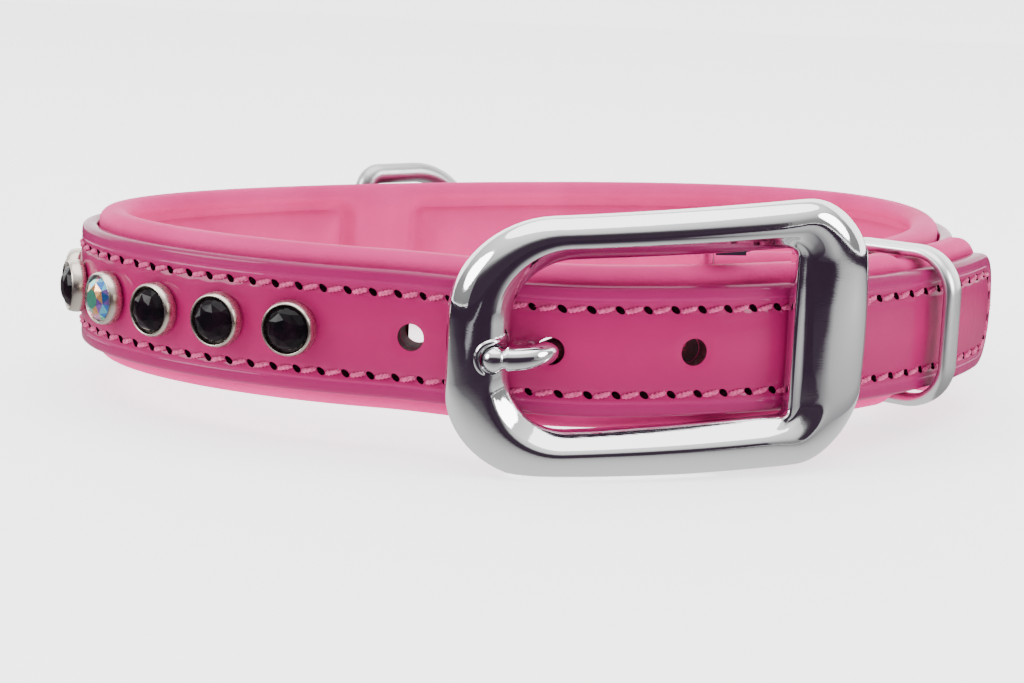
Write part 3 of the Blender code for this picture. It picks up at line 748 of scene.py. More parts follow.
def strap_line():
    """The strap's middle line in plan: points, normals towards its patent face and lengths along it."""
    fold_along = np.linspace(FOLD_BACK, GAP, 14)
    extra = FOLD_EXTRA * (1 - smooth(fold_along / FOLD_BACK))
    fold = spot(fold_along, -STRAP_THICKNESS * 1.5 - GAP - extra)
    angles = np.radians(np.linspace(-90, -270, 26))
    around = spot(FOLD_RADIUS * np.cos(angles), HEEL_OUT + FOLD_RADIUS * np.sin(angles))
    body = np.arange(0.0005, TIP_AT - TIP_LENGTH, 0.0005)
    tip = np.linspace(TIP_AT - TIP_LENGTH, TIP_AT, 60)
    lengths = np.concatenate([body, tip[:-1], [TIP_AT - 1e-5]])
    main = spot(lengths, face_out(lengths) - STRAP_THICKNESS / 2)
    path = np.concatenate([fold, around, main])[:, :2]
    along = np.concatenate([-fold_along - 0.01, np.linspace(-0.01, 0.0, 26), lengths])
    tangent = unit(np.gradient(path, axis=0))
    return path, np.stack([tangent[:, 1], -tangent[:, 0]], axis=-1), along


def strap_mesh():
    """The patent strap: its whole length with creased edges, seam grooves and puckers."""
    path, normals, along = strap_line()
    insets = graded(STRAP_INSETS) + [HALF_STRAP]
    front = [(inset, -1) for inset in insets] + [(inset, 1) for inset in insets[-2::-1]]
    insets = (0.0, BACK_ROUND, BACK_INSET, HALF_STRAP)
    back = [(inset, 1) for inset in insets] + [(inset, -1) for inset in insets[-2::-1]]
    share = np.clip((along - (TIP_AT - TIP_LENGTH)) / TIP_LENGTH, 0.0, 1.0)
    left = np.maximum(TIP_AT - along, 0.0)
    rings = []
    uvs = []
    for face, columns in ((1, front), (-1, back)):
        for inset, side in columns:
            reach = np.maximum(TIP_LENGTH - inset, 1e-6)
            inner = np.clip(share * TIP_LENGTH / reach, 0.0, 1.0)
            up = side * (HALF_STRAP - inset) * np.sqrt(1 - inner**2)
            true_inset = np.minimum(inset, left)
            if face > 0:
                out = STRAP_THICKNESS / 2 + strap_relief(along, true_inset, up)
            else:
                out = -STRAP_THICKNESS / 2 + BACK_ROUND * smooth(1 - true_inset / BACK_ROUND)
            out = np.broadcast_to(out, along.shape)[:, None]
            rings.append(np.concatenate([path + normals * out, up[:, None]], axis=1))
            uvs.append(np.stack([along, np.broadcast_to(true_inset / HALF_STRAP, along.shape)], axis=-1))
    return grid_mesh("strap", np.stack(rings, axis=1), uvs=np.stack(uvs, axis=1))


def hole_cutters():
    """A pin through strap and lining for each belt hole."""
    cutters = []
    for number, along in enumerate(hole_places()):
        length = FULL_THICKNESS + GAP / 2 + STRAP_THICKNESS
        pin = cylinder_mesh(f"hole_{number}", HOLE_DIAMETER / 2, length, 40)
        tilt = Matrix.Rotation(math.radians(90), 4, "X")
        pin.transform(loop_frame(along, face_out(along) + STRAP_THICKNESS - length / 2) @ tilt)
        cutters.append(pin)
    return cutters


def slot_cutter():
    """The slot in the strap's fold that the tongue comes through."""
    reach = HEEL_RADIUS + 2 * GAP + 2 * TONGUE_ROOT_RADIUS
    size = (2 * reach + 2 * STRAP_THICKNESS, 2 * reach + 2 * GAP, 2 * TONGUE_ROOT_RADIUS + 4 * GAP)
    slot = box_mesh("slot", size)
    slot.transform(loop_frame(0.0, HEEL_OUT - GAP))
    return slot


# Seam


def seam_route():
    """The seam along the lower row, round the tip and back: points along and up, and its length to each."""
    lower = np.linspace(SEAM_START, TIP_AT - TIP_LENGTH, 4000)
    row = HALF_STRAP - SEAM_INSET
    angles = np.linspace(-math.pi / 2, math.pi / 2, 400)[1:-1]
    tip_along = TIP_AT - TIP_LENGTH + (TIP_LENGTH - SEAM_INSET) * np.cos(angles)
    along = np.concatenate([lower, tip_along, lower[::-1]])
    up = np.concatenate([np.full(lower.shape, -row), row * np.sin(angles), np.full(lower.shape, row)])
    steps = np.hypot(np.diff(along), np.diff(up))
    return along, up, np.concatenate([[0.0], np.cumsum(steps)])


def seam_spots(places):
    """Points along and up and the seam's direction at these lengths of it."""
    along, up, length = seam_route()

    def at(place):
        return np.stack([np.interp(place, length, along), np.interp(place, length, up)], axis=-1)

    return at(places), unit(at(places + 1e-4) - at(places - 1e-4))


def on_strap(flat, lift):
    """Points on the patent face from points along and up, lifted off it."""
    along, up = flat[..., 0], flat[..., 1]
    past = np.maximum(along - (TIP_AT - TIP_LENGTH), 0.0) / TIP_LENGTH
    inset = HALF_STRAP * np.maximum(1 - np.hypot(past, up / HALF_STRAP), 0.0)
    out = face_out(along) + strap_relief(along, inset, up) + lift
    return spot(along, out, up)


def turned(direction, angle):
    """Flat directions turned by an angle."""
    cos, sin = math.cos(angle), math.sin(angle)
    x, y = direction[..., 0], direction[..., 1]
    return np.stack([cos * x - sin * y, sin * x + cos * y], axis=-1)


def seam_holes():
    """Where the needle holes lie on the seam."""
    total = seam_route()[2][-1]
    around = total - 2 * seam_length()
    pitch = stitch_pitch()
    straight = np.arange(0, round(seam_length() / pitch) + 1) * pitch
    tip_count = round(around / STITCH_PITCH)
    tip = seam_length() + around * np.arange(1, tip_count) / tip_count
    return np.concatenate([straight, tip, total - straight[::-1]])


def thread_mesh():
    """Every stitch: a short two-ply twist that rises out of one hole and dips into the next."""
    holes = seam_holes()
    rings, sides, twist = 17, 8, 2.2
    t = np.linspace(0.0, 1.0, rings)
    middles = (holes[1:] + holes[:-1]) / 2
    spans = np.diff(holes) * THREAD_SHARE
    centre, direction = seam_spots(middles)
    lean = turned(direction, THREAD_SLANT)
    flat = centre[:, None] + lean[:, None] * ((t - 0.5)[None, :, None] * spans[:, None, None])
    lift = THREAD_RISE * np.sin(math.pi * t) ** 0.6 - THREAD_DIP
    path = on_strap(flat, lift[None, :])
    tangent = unit(np.gradient(path, axis=1))
    normal = np.concatenate([outward(flat[..., 0]), np.zeros(flat.shape[:2] + (1,))], axis=-1)
    side = unit(np.cross(tangent, normal))
    angles = math.tau * np.arange(sides) / sides
    ply = 1 + THREAD_PLY * np.cos(2 * (angles[None, :] - math.tau * twist * t[:, None]))
    body = THREAD_RADIUS * np.sqrt(np.clip(1 - (2 * np.abs(t - 0.5)) ** 6, 0.05, 1.0))
    radius = body[:, None] * ply
    around = (
        side[:, :, None] * (radius * np.cos(angles)[None, :])[None, :, :, None]
        + normal[:, :, None] * (radius * np.sin(angles)[None, :])[None, :, :, None]
    )
    points = path[:, :, None] + around
    count = len(middles)
    index = np.arange(count * rings * sides).reshape(count, rings, sides)
    a, b = index[:, :-1], index[:, 1:]
    quads = np.stack([a, np.roll(a, -1, axis=2), np.roll(b, -1, axis=2), b], axis=-1).reshape(-1, 4).tolist()
    quads += index[:, 0, ::-1].tolist() + index[:, -1].tolist()
    return new_mesh("stitches", points, quads)


def slit_mesh():
    """Every needle hole: a small slanted dark lens, sunk in the patent face, its darkness painted shade
    inside the hole.
    """
    holes = seam_holes()
    centre, direction = seam_spots(holes)
    long_way = turned(direction, SLIT_SLANT)
    wide_way = turned(direction, SLIT_SLANT + math.pi / 2)
    angles = math.tau * np.arange(SLIT_SIDES) / SLIT_SIDES
    flat = centre[:, None] + (
        long_way[:, None] * (SLIT_LENGTH * np.cos(angles))[None, :, None]
        + wide_way[:, None] * (SLIT_WIDTH * np.sin(angles))[None, :, None]
    )
    rim = on_strap(flat, 0.00005)
    middle = on_strap(centre, 0.00006)
    foot = on_strap(centre, -SLIT_SINK)
    points = np.concatenate([middle[:, None], foot[:, None], rim], axis=1)
    index = np.arange(points.shape[0] * points.shape[1]).reshape(points.shape[:2])
    faces = []
    for step in range(SLIT_SIDES):
        here, after = 2 + step, 2 + (step + 1) % SLIT_SIDES
        faces += index[:, [0, here, after]].tolist() + index[:, [1, after, here]].tolist()
    return new_mesh("needle_holes", points, faces)


# Lining


def panel_distance(along, up, start, end):
    """Distance outside the outline of an inner panel, less than zero inside it."""
    half_along = (end - start) / 2 - PANEL_CORNER
    half_up = HALF_LINING - PANEL_RIM - PANEL_CORNER
    x = np.abs(along - (start + end) / 2) - half_along
    y = np.abs(up) - half_up
    outside = np.hypot(np.maximum(x, 0.0), np.maximum(y, 0.0))
    return outside + np.minimum(np.maximum(x, y), 0.0) - PANEL_CORNER


def lining_relief(along, up):
    """How far the inner face is padded out towards the neck."""
    height = np.zeros(np.broadcast(along, up).shape)
    panels = ((LINING_START + PANEL_END, RING_AT - COLUMN_HALF), (RING_AT + COLUMN_HALF, TIP_AT - PANEL_END))
    for start, end in panels:
        away = panel_distance(along, up, start, end)
        height -= PANEL_SEAM_DEPTH * ridge(away, PANEL_SEAM_WIDTH)
        height -= PANEL_SINK * smooth(-away / PANEL_SLOPE)
        height += PANEL_SINK * 0.9 * smooth(-away / PANEL_PILLOW)
    column = smooth(1 - np.abs(along - RING_AT) / (COLUMN_HALF * 1.05))
    height += COLUMN_PUFF * column * smooth((HALF_LINING - np.abs(up)) / COLUMN_FADE)
    return height


def lining_mesh():
    """The padded lining: rolled edges, sunk inner panels and a smooth column between them behind the ring."""
    body = np.arange(LINING_START, TIP_AT - TIP_LENGTH - LINING_TIP_RIM, 0.0007)
    end = np.linspace(TIP_AT - TIP_LENGTH - LINING_TIP_RIM, TIP_AT, 40)
    along = np.concatenate([body, end[:-1], [TIP_AT - 1e-5]])
    reach = TIP_LENGTH + LINING_TIP_RIM
    share = np.clip((along - (TIP_AT - reach)) / reach, 0.0, 1.0)
    size = squeeze(along)
    half_thick = LINING_THICKNESS / 2
    flat = HALF_LINING - ROLL_RADIUS
    corner = [(flat + ROLL_RADIUS * math.sin(a), a) for a in np.radians(np.linspace(0, 90, 9))]
    half = [(u, 0.0) for u in np.linspace(0.0, flat, 26)[:-1]] + corner
    outer = [(-u, a) for u, a in half[::-1]] + [(u, a) for u, a in half[1:]]
    columns = [(u, a, 1) for u, a in outer] + [(u, a, -1) for u, a in outer[::-1]]
    rim_width = np.maximum(np.sqrt(1 - share**2), 1e-4)
    middle = lining_out(along)
    rings = []
    for u, angle, face in columns:
        up = u * size * rim_width
        depth = half_thick - ROLL_RADIUS * (1 - math.cos(angle))
        near_end = smooth((TIP_AT - along) / ROLL_RADIUS)
        level = face * depth * size * (0.45 + 0.55 * near_end)
        if face < 0:
            level = level - lining_relief(along, up) * smooth((TIP_AT - along) / COLUMN_FADE)
        rings.append(spot(along, middle + level, up))
    return grid_mesh("lining", np.stack(rings, axis=1))


# Buckle


def casting_outline(left, right, height, corner_left, corner_right, side_steps, corner_steps):
    """A frame outline: along and up, with round corners and evenly divided sides."""
    corners = (
        (right - corner_right, height / 2 - corner_right, corner_right, 0),
        (left + corner_left, height / 2 - corner_left, corner_left, 90),
        (left + corner_left, -height / 2 + corner_left, corner_left, 180),
        (right - corner_right, -height / 2 + corner_right, corner_right, 270),
    )
    points = []
    for number, (x, z, radius, start) in enumerate(corners):
        angles = np.radians(start + np.linspace(0, 90, corner_steps + 1))
        points += [(x + radius * math.cos(a), z + radius * math.sin(a)) for a in angles]
        x, z, radius, start = corners[(number + 1) % 4]
        turn = math.radians(start)
        goal = (x + radius * math.cos(turn), z + radius * math.sin(turn))
        steps = side_steps[number % 2]
        here = points[-1]
        for step in range(1, steps):
            t = step / steps
            points.append((here[0] * (1 - t) + goal[0] * t, here[1] * (1 - t) + goal[1] * t))
    return np.array(points)


def casting_frame():
    """The casting's own frame, from the window's left end to its right end, and the distance between them."""
    left = Vector(spot(TURN - WINDOW_LEFT, face_out(TURN - WINDOW_LEFT) + GAP))
    right = Vector(spot(TURN + WINDOW_RIGHT, face_out(TURN + WINDOW_RIGHT) + GAP))
    along = (right - left).normalized()
    axes = Matrix((along, Vector((-along.y, along.x, 0.0)), Vector((0.0, 0.0, 1.0)))).transposed().to_4x4()
    axes.translation = left
    return axes, (right - left).length


def casting_back(x, window_length):
    """How far the casting's back bows towards the neck."""
    middle = window_length / 2
    return BUCKLE_BOW * (1 - ((x - middle) / middle) ** 2)


def casting_lift(x, window_length):
    """How high the casting's middle lies."""
    return BUCKLE_LIFT + (x - window_length / 2) * BUCKLE_SKEW


def casting_mesh():
    """The buckle's bowed ring: a bevelled and domed section that widens to a pillowed plate at the right."""
    axes, length = casting_frame()
    steps = ((44, 26), 16)
    outer_corners = (OUTER_CORNER_LEFT, OUTER_CORNER_RIGHT)
    outer = casting_outline(-LEFT_BAR, length + RIGHT_PLATE, BUCKLE_HEIGHT, *outer_corners, *steps)
    window = casting_outline(0.0, length, WINDOW_HEIGHT, WINDOW_CORNER_LEFT, WINDOW_CORNER_RIGHT, *steps)
    taper = 1 - BUCKLE_LEFT_HEIGHT / BUCKLE_HEIGHT
    window[:, 1] += WINDOW_RISE
    outer[:, 1] *= 1 - taper * np.maximum(0.0, 1 - outer[:, 0] / length)
    bow = PLATE_BOW * (2 * outer[:, 1] / BUCKLE_HEIGHT) ** 2
    outer[:, 0] -= bow * smooth((outer[:, 0] - length) / RIGHT_PLATE)
    rows = np.array(CASTING_ROWS)
    rail = curve_points(rows[:, 0], 4, cyclic=True)
    plate = curve_points(rows[:, 1], 4, cyclic=True)
    share = smooth((outer[:, 0] - (length - PLATE_BLEND_START)) / PLATE_BLEND)[:, None, None]
    section = rail[None] * (1 - share) + plate[None] * share
    across, height = section[..., 0], section[..., 1]
    flat = window[:, None] * (1 - across[..., None]) + outer[:, None] * across[..., None]
    x = flat[..., 0]
    y = -casting_back(x, length) - BUCKLE_DEPTH * height
    z = flat[..., 1] + casting_lift(x, length)
    mesh = grid_mesh("buckle_frame", np.stack([x, y, z], axis=-1), cyclic_rows=True)
    mesh.transform(axes)
    return mesh


def heel_meshes():
    """The two lugs behind the rails and the heel bar between them."""
    axes, length = casting_frame()
    heel = axes.inverted() @ Vector(spot(TURN, HEEL_OUT))
    lug_front = -casting_back(heel.x, length) - BUCKLE_DEPTH * LUG_SINK
    lug_depth = heel.y + HEEL_RADIUS - lug_front
    lift = casting_lift(heel.x, length)
    reach = HALF_LINING + GAP + LUG_WIDTH / 2
    meshes = []
    for height in (reach + lift, -reach):
        lug = box_mesh("lug", (LUG_LENGTH, lug_depth, LUG_WIDTH), rounding=LUG_ROUND)
        lug.transform(axes @ Matrix.Translation((heel.x, lug_front + lug_depth / 2, height)))
        meshes.append(lug)
    bar = cylinder_mesh("heel_bar", HEEL_RADIUS, 2 * reach + lift, 32)
    bar.transform(loop_frame(TURN, HEEL_OUT, lift / 2))
    return meshes + [bar]


def tongue_line(extra):
    """The tongue's middle line and radii, and its ball's middle."""
    eye_radius = HEEL_RADIUS + GAP + TONGUE_ROOT_RADIUS
    angles = TONGUE_EYE_START + TONGUE_EYE_TURN * np.linspace(0.0, 1.0, 31)
    eye = spot(TURN - eye_radius * np.cos(angles), HEEL_OUT + eye_radius * np.sin(angles))
    before, out = np.array(TONGUE_ROWS).T
    droop = TONGUE_DROOP * smooth((before - before[4]) / (before[-1] - before[4]))
    shank_rows = spot(TURN - TONGUE_HOLE * before, FREE_END_RISE * out, -droop)
    taper = smooth((np.arange(len(TONGUE_ROWS)) + 1) / 5)
    radii_rows = TONGUE_ROOT_RADIUS + (TONGUE_RADIUS - TONGUE_ROOT_RADIUS) * taper
    rows = np.concatenate([shank_rows, radii_rows[:, None]], axis=1)
    start = np.append(eye[-1], TONGUE_ROOT_RADIUS)
    line = curve_points(np.vstack([start, rows]), 5)[1:]
    path = np.concatenate([eye, line[:, :3]])
    radii = np.concatenate([np.full(len(eye), TONGUE_ROOT_RADIUS), line[:, 3]]) + extra
    along = unit(path[-1] - path[-2])
    ball = TONGUE_TIP_RADIUS + extra
    middle = path[-1] + along * TONGUE_TIP_RADIUS
    for angle in np.radians(BALL_ANGLES):
        path = np.vstack([path, middle + along * ball * math.sin(angle)])
        radii = np.append(radii, ball * math.cos(angle))
    return path, radii, middle


def tongue_mesh(name, extra, sides):
    """The tongue: an eye round the heel bar, a rising shank and a ball end."""
    path, radii = tongue_line(extra)[:2]
    return grid_mesh(name, tube_points(path, radii, sides))


def seat_lip_mesh(face):
    """The raised lip of the tongue's seat: it runs round the ball on the casting's face."""
    middle = Vector(tongue_line(0.0)[2])
    normal = Vector((*outward(TURN - WINDOW_LEFT - LEFT_BAR / 2), 0.0))
    up = Vector((0.0, 0.0, 1.0))
    along = up.cross(normal)
    reach = TONGUE_TIP_RADIUS + SEAT_CLEARANCE + LIP_RADIUS * 0.6
    tree = BVHTree.FromPolygons([v.co for v in face.vertices], [tuple(p.vertices) for p in face.polygons])
    path = []
    for angle in np.radians(np.linspace(*LIP_SPAN, 61)):
        start = middle - along * reach * math.cos(angle) + up * reach * math.sin(angle) + normal * 0.01
        hit = tree.ray_cast(start, -normal, 0.02)[0]
        if hit is not None:
            path.append(hit - normal * LIP_RADIUS * 0.25)
    path = np.array(path)
    for _ in range(6):
        path[1:-1] = (path[:-2] + 2 * path[1:-1] + path[2:]) / 4
    share = np.linspace(-1.0, 1.0, len(path))
    radii = LIP_RADIUS * np.sqrt(np.maximum(1 - share**4, 0.02))
    return grid_mesh("seat_lip", tube_points(path, radii, 14))


# Keeper, lead ring and studs


def keeper_mesh():
    """The keeper: a half-round band about both layers."""
    outside = float(face_out(TURN + KEEPER_AT)) + KEEPER_STAND_OFF
    inside = float(lining_out(KEEPER_AT)) - LINING_THICKNESS * KEEPER_SQUEEZE / 2 - GAP
    depth = outside - inside + KEEPER_THICKNESS
    height = LINING_WIDTH * KEEPER_SQUEEZE + 2 * GAP + KEEPER_THICKNESS
    path = []
    for corner, (side_y, side_z) in enumerate(((1, 1), (-1, 1), (-1, -1), (1, -1))):
        radius = KEEPER_CORNER if side_y > 0 else KEEPER_FRONT_CORNER
        for angle in np.radians(90 * corner + np.linspace(0, 90, 17)):
            y = side_y * (depth / 2 - radius) + radius * math.cos(angle)
            z = side_z * (height / 2 - radius) + radius * math.sin(angle)
            path.append((0.0, y, z))
    path = np.array(path)
    normal = np.cross(unit(np.roll(path, -1, axis=0) - np.roll(path, 1, axis=0)), (1.0, 0.0, 0.0))
    angles = math.tau * np.arange(28) / 28
    cos, sin = np.cos(angles), np.sin(angles)
    thick = KEEPER_THICKNESS / 2 * np.sign(cos) * np.abs(cos) ** 0.85
    wide = KEEPER_BAND / 2 * np.sign(sin) * np.abs(sin) ** 0.8
    points = path[:, None] + normal[:, None] * thick[None, :, None]
    points[..., 0] += wide[None]
    mesh = grid_mesh("keeper", points, cyclic_rows=True)
    mesh.transform(loop_frame(TURN + KEEPER_AT, (outside + inside) / 2))
    return mesh


def ring_mesh():
    """The lead ring: a straight bar in the channel behind the strap and a round bow."""
    corner_z = RING_BOW_RADIUS - RING_CORNER
    quarter = math.pi / 2
    arcs = (
        (RING_CORNER, -corner_z, RING_CORNER, -2 * quarter, -quarter, 10),
        (RING_BOW_CENTRE, 0.0, RING_BOW_RADIUS, -quarter, quarter, 60),
        (RING_CORNER, corner_z, RING_CORNER, quarter, 2 * quarter, 10),
    )
    path = []
    for x, z, radius, start, end, steps in arcs:
        for angle in np.linspace(start, end, steps + 1):
            path.append((x + radius * math.cos(angle), 0.0, z + radius * math.sin(angle)))
    path += [(0.0, 0.0, corner_z * t) for t in np.linspace(1.0, -1.0, 16)[1:-1]]
    points = tube_points(path, np.full(len(path), RING_WIRE / 2), 20, cyclic=True)
    mesh = grid_mesh("d_ring", points, cyclic_rows=True)
    bar_out = float(face_out(RING_AT)) - STRAP_THICKNESS - GAP - RING_WIRE / 2
    mesh.transform(loop_frame(RING_AT, bar_out) @ Matrix.Rotation(math.pi + RING_LEAN, 4, "Z"))
    return mesh


def setting_mesh():
    """A turned cup for one stone, flat side down, on Z."""
    angles = math.tau * np.arange(64) / 64
    rows = []
    for radius, height in SETTING_ROWS:
        r = max(radius, 1e-5) * SETTING_DIAMETER / 2
        heights = np.full(64, SETTING_HEIGHT * height)
        rows.append(np.stack([r * np.cos(angles), r * np.sin(angles), heights], axis=-1))
    return grid_mesh("setting", np.stack(rows))


def stone_mesh(tints):
    """A round cut stone on Z: table, star and kite facets, a girdle and a shallow back."""
    radius = STONE_DIAMETER / 2
    rows = (
        (8, 0.46, STONE_CROWN, 0.5),
        (8, 0.76, STONE_CROWN * 0.70, 0.0),
        (16, 1.0, STONE_CROWN * 0.12, 0.0),
        (16, 1.0, -STONE_CROWN * 0.06, 0.0),
        (8, 0.5, -STONE_BACK, 0.0),
    )
    work = bmesh.new()
    for sides, share, height, shift in rows:
        for side in range(sides):
            angle = math.tau * (side + shift) / sides
            work.verts.new((radius * share * math.cos(angle), radius * share * math.sin(angle), height))
    bmesh.ops.convex_hull(work, input=work.verts)
    bmesh.ops.dissolve_limit(work, angle_limit=math.radians(2), verts=work.verts, edges=work.edges)
    bmesh.ops.recalc_face_normals(work, faces=work.faces)
    layer = work.loops.layers.float_color.new("tint")
    for number, face in enumerate(work.faces):
        middle = face.calc_center_median()
        pick = int(round(math.atan2(middle.y, middle.x) / math.tau * 16 + middle.z * 4000)) * 5 + number
        for corner in face.loops:
            corner[layer] = (*tints[pick % len(tints)], 1.0)
    return to_mesh(work, "stone")


RAINBOW_TINTS = (
    (0.16, 0.62, 0.42),
    (0.06, 0.22, 0.62),
    (0.34, 0.16, 0.60),
    (0.72, 0.34, 0.14),
    (0.70, 0.78, 0.84),
    (0.16, 0.55, 0.72),
    (0.66, 0.24, 0.40),
)


# The collar

PATENT = patent_leather()
SOFT = soft_leather()
CHROME = chrome()
NICKEL = satin_metal("satin nickel", (0.62, 0.55, 0.48), 0.24, (900.0, 0.18, 0.36), (1500.0, 3.0, 0.000005))
RING_METAL = satin_metal("ring metal", (0.46, 0.46, 0.46), 0.35, (600.0, 0.28, 0.42), (900.0, 2.0, 0.00002))
SATIN = satin_metal("satin chrome", (0.80, 0.80, 0.81), 0.3, (500.0, 0.24, 0.36), (700.0, 3.0, 0.00002))
JET = toned(
    "jet glass", (0.004, 0.003, 0.004), 0.05, (300.0, 2.0),
    ((0.35, (0.002, 0.002, 0.0025)), (0.75, (0.008, 0.003, 0.006))),
    Specular_IOR_Level=0.13
)
RAINBOW = rainbow_glass()
THREAD = toned(
    "thread", (0.60, 0.07, 0.22), 0.45, (2500.0, 2.0),
    ((0.3, (0.32, 0.018, 0.09)), (0.7, (0.58, 0.070, 0.22))),
    Sheen_Weight=0.1, Sheen_Roughness=0.3, Specular_IOR_Level=0.3
)
# Needle holes: a near-black colour that is painted shade inside the holes
SLIT_PAINTED_SHADE = toned(
    "needle hole", (0.004, 0.001, 0.002), 0.8, (1800.0, 2.0),
    ((0.4, (0.002, 0.0005, 0.001)), (0.8, (0.012, 0.002, 0.005))),
    Specular_IOR_Level=0.0
)
CUT_EDGE = toned(
    "cut edge", (0.06, 0.006, 0.015), 0.7, (1500.0, 3.0),
    ((0.3, (0.03, 0.003, 0.008)), (0.7, (0.10, 0.010, 0.025))),
    grain=(2500.0, 3.0, 0.0001), Specular_IOR_Level=0.1
)

BODY = "collar"


def dress(piece, *nodes, body=BODY, slot=None):
    """Ties a piece to its body and lets it stand for nodes of the solids."""
    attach(piece, body)
    if nodes:
        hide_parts(*nodes)
    return piece


strap = add_piece("patent_strap", strap_mesh(), PATENT)
cut(strap, hole_cutters() + [slot_cutter()], CUT_EDGE)
dress(strap, "strap", slot="patent_leather")

lining = add_piece("padded_lining", lining_mesh(), SOFT)
cut(lining, hole_cutters() + [tongue_mesh("room", SEAT_CLEARANCE, 16)], CUT_EDGE)
dress(lining, "lining", slot="soft_leather")

dress(add_piece("stitches", thread_mesh(), THREAD), slot="soft_leather")
dress(add_piece("needle_holes", slit_mesh(), SLIT_PAINTED_SHADE), slot="patent_leather")

plain_casting = casting_mesh()
dress(add_piece("seat_lip", seat_lip_mesh(plain_casting), CHROME), slot="chrome")
casting = add_piece("buckle_casting", plain_casting, CHROME)
cut(casting, [tongue_mesh("seat", SEAT_CLEARANCE, 20)], CHROME)
dress(casting, slot="chrome")
heel = add_piece("buckle_heel", joined("buckle_heel", heel_meshes()), CHROME)
heel.data.set_sharp_from_angle(angle=math.radians(40))
dress(heel, slot="chrome")
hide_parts("buckle_frame")

dress(add_piece("tongue", tongue_mesh("tongue", 0.0, 24), CHROME), "buckle_tongue", slot="chrome")
dress(add_piece("keeper_band", keeper_mesh(), SATIN), "keeper", slot="chrome")
ring = add_piece("lead_ring_wire", ring_mesh(), RING_METAL)
dress(ring, "d_ring", body="lead_ring", slot="chrome")

stone_height = SETTING_HEIGHT * SETTING_ROWS[-1][1] + GAP / 2 + STONE_BACK
for number in range(1, STUD_COUNT + 1):
    along = TURN - STUD_FIRST - (number - 1) * STUD_PITCH
    place = loop_frame(along, float(face_out(along)) + GAP) @ Matrix.Rotation(math.radians(90), 4, "X")
    setting = setting_mesh()
    setting.transform(place)
    piece = add_piece(f"setting_{number:02d}", setting, NICKEL)
    dress(piece, f"stud_{number:02d}_setting", slot="satin_nickel")
    stone = stone_mesh(RAINBOW_TINTS)
    turn = Matrix.Rotation(STONE_TURN * number, 4, "Z")
    stone.transform(place @ Matrix.Translation((0.0, 0.0, stone_height)) @ turn)
    clear = number in CLEAR_STONES
    piece = add_piece(f"stone_{number:02d}", stone, RAINBOW if clear else JET)
    piece.data.shade_flat()
    dress(piece, f"stud_{number:02d}_stone", slot="coated_clear_glass" if clear else "jet_glass")


# Floor, lights and camera


def floor():
    """A pale sweep: a flat floor that curves up far behind the collar."""
    reach, back, wall, bend = 4.0, 1.6, 1.8, 0.8
    profile = [(-reach, 0.0), (0.0, 0.0), (back - bend, 0.0)]
    for angle in np.radians(np.arange(10, 91, 10)):
        profile.append((back - bend + bend * math.sin(angle), bend * (1 - math.cos(angle))))
    profile.append((back, wall))
    points = [(side * reach, y, z) for y, z in profile for side in (-1, 1)]
    faces = [(2 * n, 2 * n + 1, 2 * n + 3, 2 * n + 2) for n in range(len(profile) - 1)]
    mesh = new_mesh("floor", points, faces)
    mesh.shade_smooth()
    made, shader = principled("floor", (0.90, 0.90, 0.90), 0.6, Specular_IOR_Level=0.1)
    shader.inputs["Emission Color"].default_value = (1.0, 1.0, 1.0, 1.0)
    shader.inputs["Emission Strength"].default_value = FLOOR_GLOW
    mesh.materials.append(made)
    return add_object("floor", mesh)


def aim(thing, place, target):
    """Puts a lamp or panel in its place, facing a target."""
    thing.location = place
    thing.rotation_euler = (Vector(target) - Vector(place)).to_track_quat("-Z", "Y").to_euler()


def softbox(name, place, target, size, watts):
    """A soft area light that faces a target."""
    light = bpy.data.lights.new(name, "AREA")
    light.shape = "ELLIPSE"
    light.size, light.size_y = size
    light.energy = watts
    aim(add_object(name, light), place, target)


def gloss_card(name, place, target, size, stops, scale=None):
    """A panel that only the gloss sees, graded by height, or by distance from its middle where scaled."""
    x, y = size[0] / 2, size[1] / 2
    mesh = new_mesh(name, [(-x, -y, 0), (x, -y, 0), (x, y, 0), (-x, y, 0)], [(0, 1, 2, 3)])
    made, shader = principled(name, (0.0, 0.0, 0.0), 0.9, Specular_IOR_Level=0.0, Emission_Strength=1.0)
    where = add_node(made, "ShaderNodeTexCoord").outputs["Object"]
    if scale:
        mapping = add_node(made, "ShaderNodeMapping", Scale=scale)
        link(made, where, mapping.inputs["Vector"])
        gradient = add_node(made, "ShaderNodeTexGradient", gradient_type="SPHERICAL")
        link(made, mapping.outputs["Vector"], gradient.inputs["Vector"])
        value = gradient.outputs["Fac"]
    else:
        parts = add_node(made, "ShaderNodeSeparateXYZ")
        link(made, where, parts.inputs["Vector"])
        value = parts.outputs["Y"]
    link(made, ramp(made, value, stops), shader.inputs["Emission Color"])
    mesh.materials.append(made)
    card = add_object(name, mesh)
    aim(card, place, target)
    card.visible_camera = False
    card.visible_diffuse = False
    card.visible_shadow = False
    return card


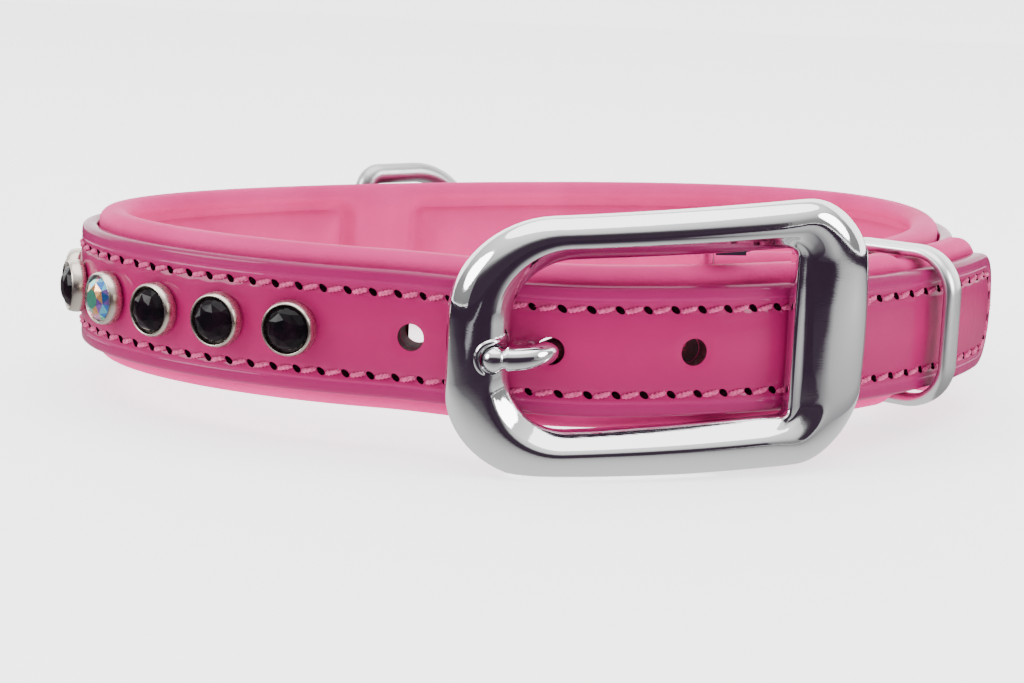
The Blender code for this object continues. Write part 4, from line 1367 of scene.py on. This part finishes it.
def camera():
    """The camera of the photograph, from its fit in the collar's own frame."""
    cos, sin = math.cos(CAMERA_ELEVATION), math.sin(CAMERA_ELEVATION)
    place = Vector((LOOK_X, -CAMERA_DISTANCE * cos, LOOK_Z + CAMERA_DISTANCE * sin))
    right, top, back = Vector((1.0, 0.0, 0.0)), Vector((0.0, sin, cos)), Vector((0.0, -cos, sin))
    cos, sin = math.cos(CAMERA_ROLL), math.sin(CAMERA_ROLL)
    turn = Matrix((right * cos - top * sin, right * sin + top * cos, back)).transposed().to_4x4()
    data = bpy.data.cameras.new("camera")
    data.sensor_fit = "HORIZONTAL"
    data.sensor_width = SENSOR_WIDTH
    data.lens = FOCAL_PIXELS / IMAGE_WIDTH * SENSOR_WIDTH
    data.clip_start = 0.01
    eye = add_object("camera", data)
    eye.matrix_world = STAND @ Matrix.Translation(place) @ turn
    bpy.context.scene.camera = eye


def studio_air():
    """Soft surroundings, brighter overhead."""
    air = bpy.data.worlds.new("studio")
    air.use_nodes = True
    back = air.node_tree.nodes["Background"]
    place = add_node(air, "ShaderNodeTexCoord")
    parts = add_node(air, "ShaderNodeSeparateXYZ")
    link(air, place.outputs["Generated"], parts.inputs["Vector"])
    link(air, ramp(air, parts.outputs["Z"], AIR_STOPS), back.inputs["Color"])
    back.inputs["Strength"].default_value = AIR_STRENGTH
    return air


bpy.context.scene.world = studio_air()

AIM = (0.0, -0.02, 0.02)
DOWN = (0.0, 0.0, -1.0)
softbox("top_light", (0.0, 0.0, 0.80), AIM, (1.2, 1.0), 8.2)
softbox("left_light", (-0.80, -0.30, 0.40), AIM, (0.5, 0.5), 6.0)
softbox("right_light", (0.80, -0.20, 0.30), AIM, (0.4, 0.5), 5.0)
front_at, streak_at, side_at = (0.0, -1.0, 0.30), (-0.10, -0.26, 0.0012), (0.22, -0.06, 0.0012)
cards = [
    gloss_card("front_card", front_at, (0.0, 0.0, 0.30), (2.4, 0.60), FRONT_CARD_STOPS),
    gloss_card("floor_card", (0.0, 0.0, 0.0006), DOWN, (3.0, 1.98), FLOOR_CARD_STOPS, FLOOR_CARD_SCALE),
    gloss_card("streak_card", streak_at, (-0.10, -0.26, -1.0), (0.022, 0.24), STREAK_CARD_STOPS),
    gloss_card("side_card", side_at, (0.22, -0.06, -1.0), (0.30, 0.32), SIDE_CARD_STOPS, SIDE_CARD_SCALE),
]
floor()
camera()
